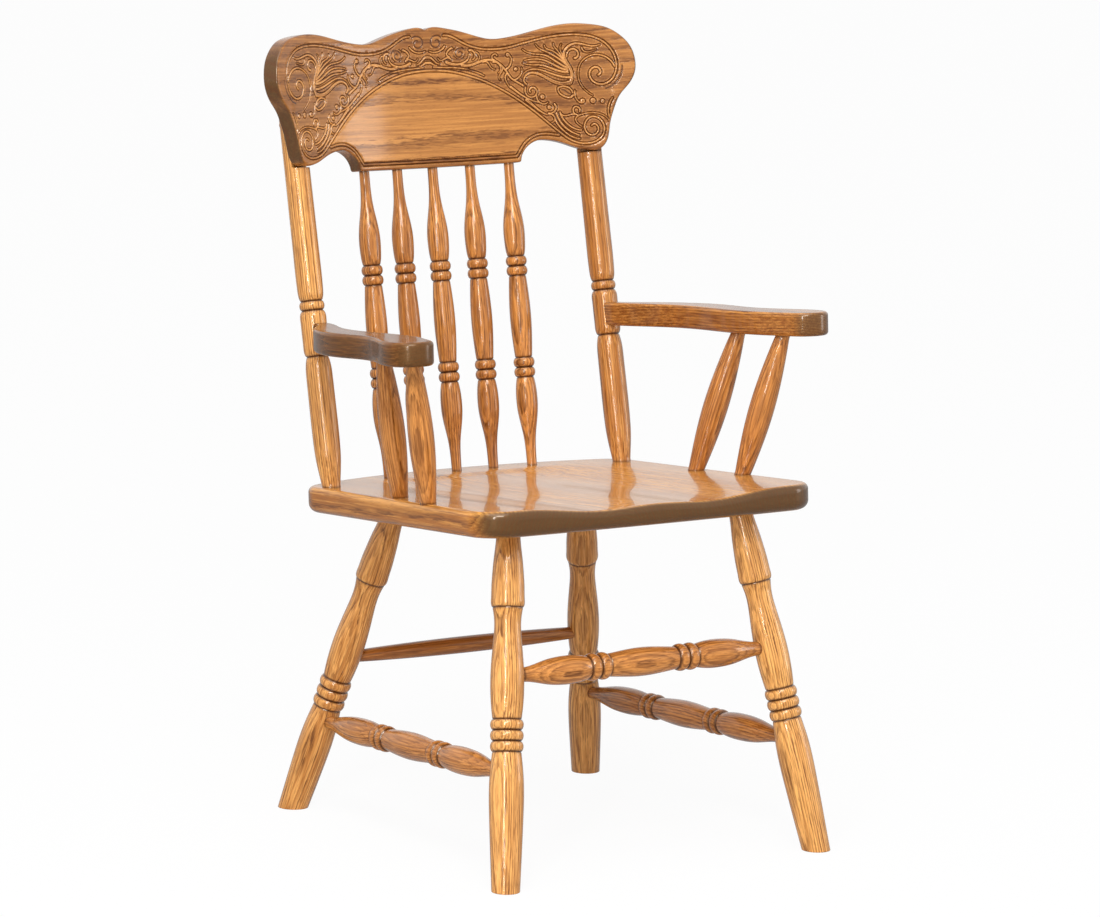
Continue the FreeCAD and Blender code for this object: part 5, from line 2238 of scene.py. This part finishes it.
@dataclass(frozen=True)
class Studio:
    """Pale floor and soft lights round the chair."""

    boxes: tuple[SoftBox, ...] = (
        SoftBox("key", (-1.9, -3.1, 3.5), (1.6, 1.6), 112.0),
        SoftBox("box_left", (-2.7, -2.5, 1.7), (0.26, 2.0), 52.0),
        SoftBox("box_right", (2.9, -1.7, 1.0), (0.85, 1.2), 12.0, (0.0, 0.0, 0.3)),
    )
    overhead: EvenLight = EvenLight()
    view: View = View()
    white: Colour = (1.0, 1.0, 1.0, 1.0)
    paper: Colour = (0.80, 0.80, 0.80, 1.0)
    paper_fleck: Colour = (0.82, 0.82, 0.82, 1.0)
    fleck_cells: Spot = (30.0, 30.0, 30.0)
    half_floor: float = 40.0
    room_light: float = 0.33
    room_shine: float = 0.80
    floor_shine: float = 0.42
    floor_share: float = 0.94

    def floor(self) -> None:
        """Lays a wide pale floor that shows white and keeps the chair's shadow."""
        mesh = bpy.data.meshes.new("studio_floor")
        half = self.half_floor
        corners = [(-half, -half, 0), (half, -half, 0), (half, half, 0), (-half, half, 0)]
        mesh.from_pydata(corners, [], [(0, 1, 2, 3)])
        material = bpy.data.materials.new("studio_paper")
        nodes = Nodes(material)
        fleck = nodes.noise(nodes.add("TexCoord").outputs["Object"], self.fleck_cells)
        matt = nodes.add("BsdfDiffuse", Color=nodes.blend(fleck, self.paper, self.paper_fleck))
        path = nodes.add("LightPath").outputs
        level = nodes.remap(path["Is Camera Ray"], 0.0, 1.0, top=1.0 - self.floor_shine)
        level = nodes.math("ADD", level, self.floor_shine)
        shine = nodes.add("Emission", Color=self.white, Strength=level)
        bent = nodes.math("MAXIMUM", path["Is Glossy Ray"], path["Is Transmission Ray"])
        seen = nodes.math("MULTIPLY", path["Is Camera Ray"], self.floor_share)
        mix = nodes.add("MixShader", Fac=nodes.math("ADD", bent, seen))
        for socket, shader in zip(mix.inputs[1:], (matt, shine)):
            nodes.put(socket, shader.outputs[0])
        nodes.finish(mix)
        mesh.materials.append(material)
        stand("studio_floor", mesh)

    def room(self) -> None:
        """Sets the even light of the room, and what shows in a gloss."""
        world = bpy.data.worlds.new("studio_room")
        nodes = Nodes(world)
        path = nodes.add("LightPath").outputs
        level = nodes.remap(path["Is Glossy Ray"], 0.0, 1.0, self.room_light, self.room_shine)
        seen = nodes.remap(path["Is Camera Ray"], 0.0, 1.0, top=1.0 - self.room_light)
        nodes.finish(nodes.add("Background", Color=self.white, Strength=nodes.math("ADD", level, seen)))
        bpy.context.scene.world = world

    def build(self) -> None:
        """Sets up the whole studio."""
        bpy.context.scene.view_settings.view_transform = "Standard"
        self.floor()
        for light in (*self.boxes, self.overhead):
            light.build()
        self.room()
        self.view.build()


def main() -> None:
    """Builds the chair's pieces in order, then the studio round them."""
    logging.basicConfig(level=logging.INFO, format="%(name)s %(message)s")
    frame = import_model()
    seat_oak = OakFinish(
        "oak_seat", light=(0.86, 0.405, 0.092, 1.0), deep=(0.38, 0.128, 0.020, 1.0), ring=0.0052,
        wander=0.030, pore_depth=0.78, board_width=0.105, end_share=0.95, coat_relief=0.05, coat=0.60,
        gloss=0.045,
    ).build()
    crest_oak = OakFinish(
        "oak_crest", light=(0.58, 0.252, 0.062, 1.0), deep=(0.30, 0.108, 0.024, 1.0), ring=0.0125,
        wander=0.060, dash=70.0, end_share=0.88, end_stain=(0.050, 0.025, 0.009, 1.0),
        loose_pores=0.45, gloss=0.13,
    ).build()
    arm_oaks = {
        Side.RIGHT: OakFinish(
            "oak_arm_right", light=(0.66, 0.280, 0.060, 1.0), deep=(0.27, 0.086, 0.017, 1.0),
            wander=0.020, coat_relief=0.08, coat=0.60, gloss=0.05,
        ).build(),
        # Painted shade: a darker copy of the arm oak with a thinner coat, for the shade the left arm lies in
        Side.LEFT: OakFinish(
            "oak_arm_left", light=(0.28, 0.105, 0.023, 1.0), deep=(0.060, 0.024, 0.005, 1.0),
            wander=0.020, coat_relief=0.08, coat=0.32, gloss=0.05,
        ).build(),
    }
    golden_oak = OakFinish(
        "oak_turned", light=(0.93, 0.470, 0.140, 1.0), deep=(0.45, 0.165, 0.032, 1.0), ring=0.0031,
        wander=0.012, coat_relief=0.20,
    ).build()
    red_oak = OakFinish(
        "oak_spindle", light=(0.74, 0.308, 0.075, 1.0), deep=(0.31, 0.098, 0.018, 1.0), ring=0.0032,
        wander=0.012, coat_relief=0.19,
    ).build()
    plug_oak = PlugFinish(
        "oak_plug", light=(0.45, 0.175, 0.050, 1.0), deep=(0.30, 0.105, 0.028, 1.0)
    ).build()
    tree = TurningTree()
    gold_lathe, red_lathe = Lathe(tree, golden_oak, 0), Lathe(tree, red_oak, 20)
    seat = Seat()
    seat.build(seat_oak)
    Underframe(seat, gold_lathe, red_lathe).build()
    crest = Crest()
    crest.build(crest_oak)
    back = Back(seat, crest, gold_lathe, red_lathe)
    back.build()
    Arms(seat, back, red_lathe).build(arm_oaks)
    Fasteners(frame["nodes"]).build(plug_oak, SteelFinish().build())
    Studio().build()


if __name__ == "__main__":
    main()
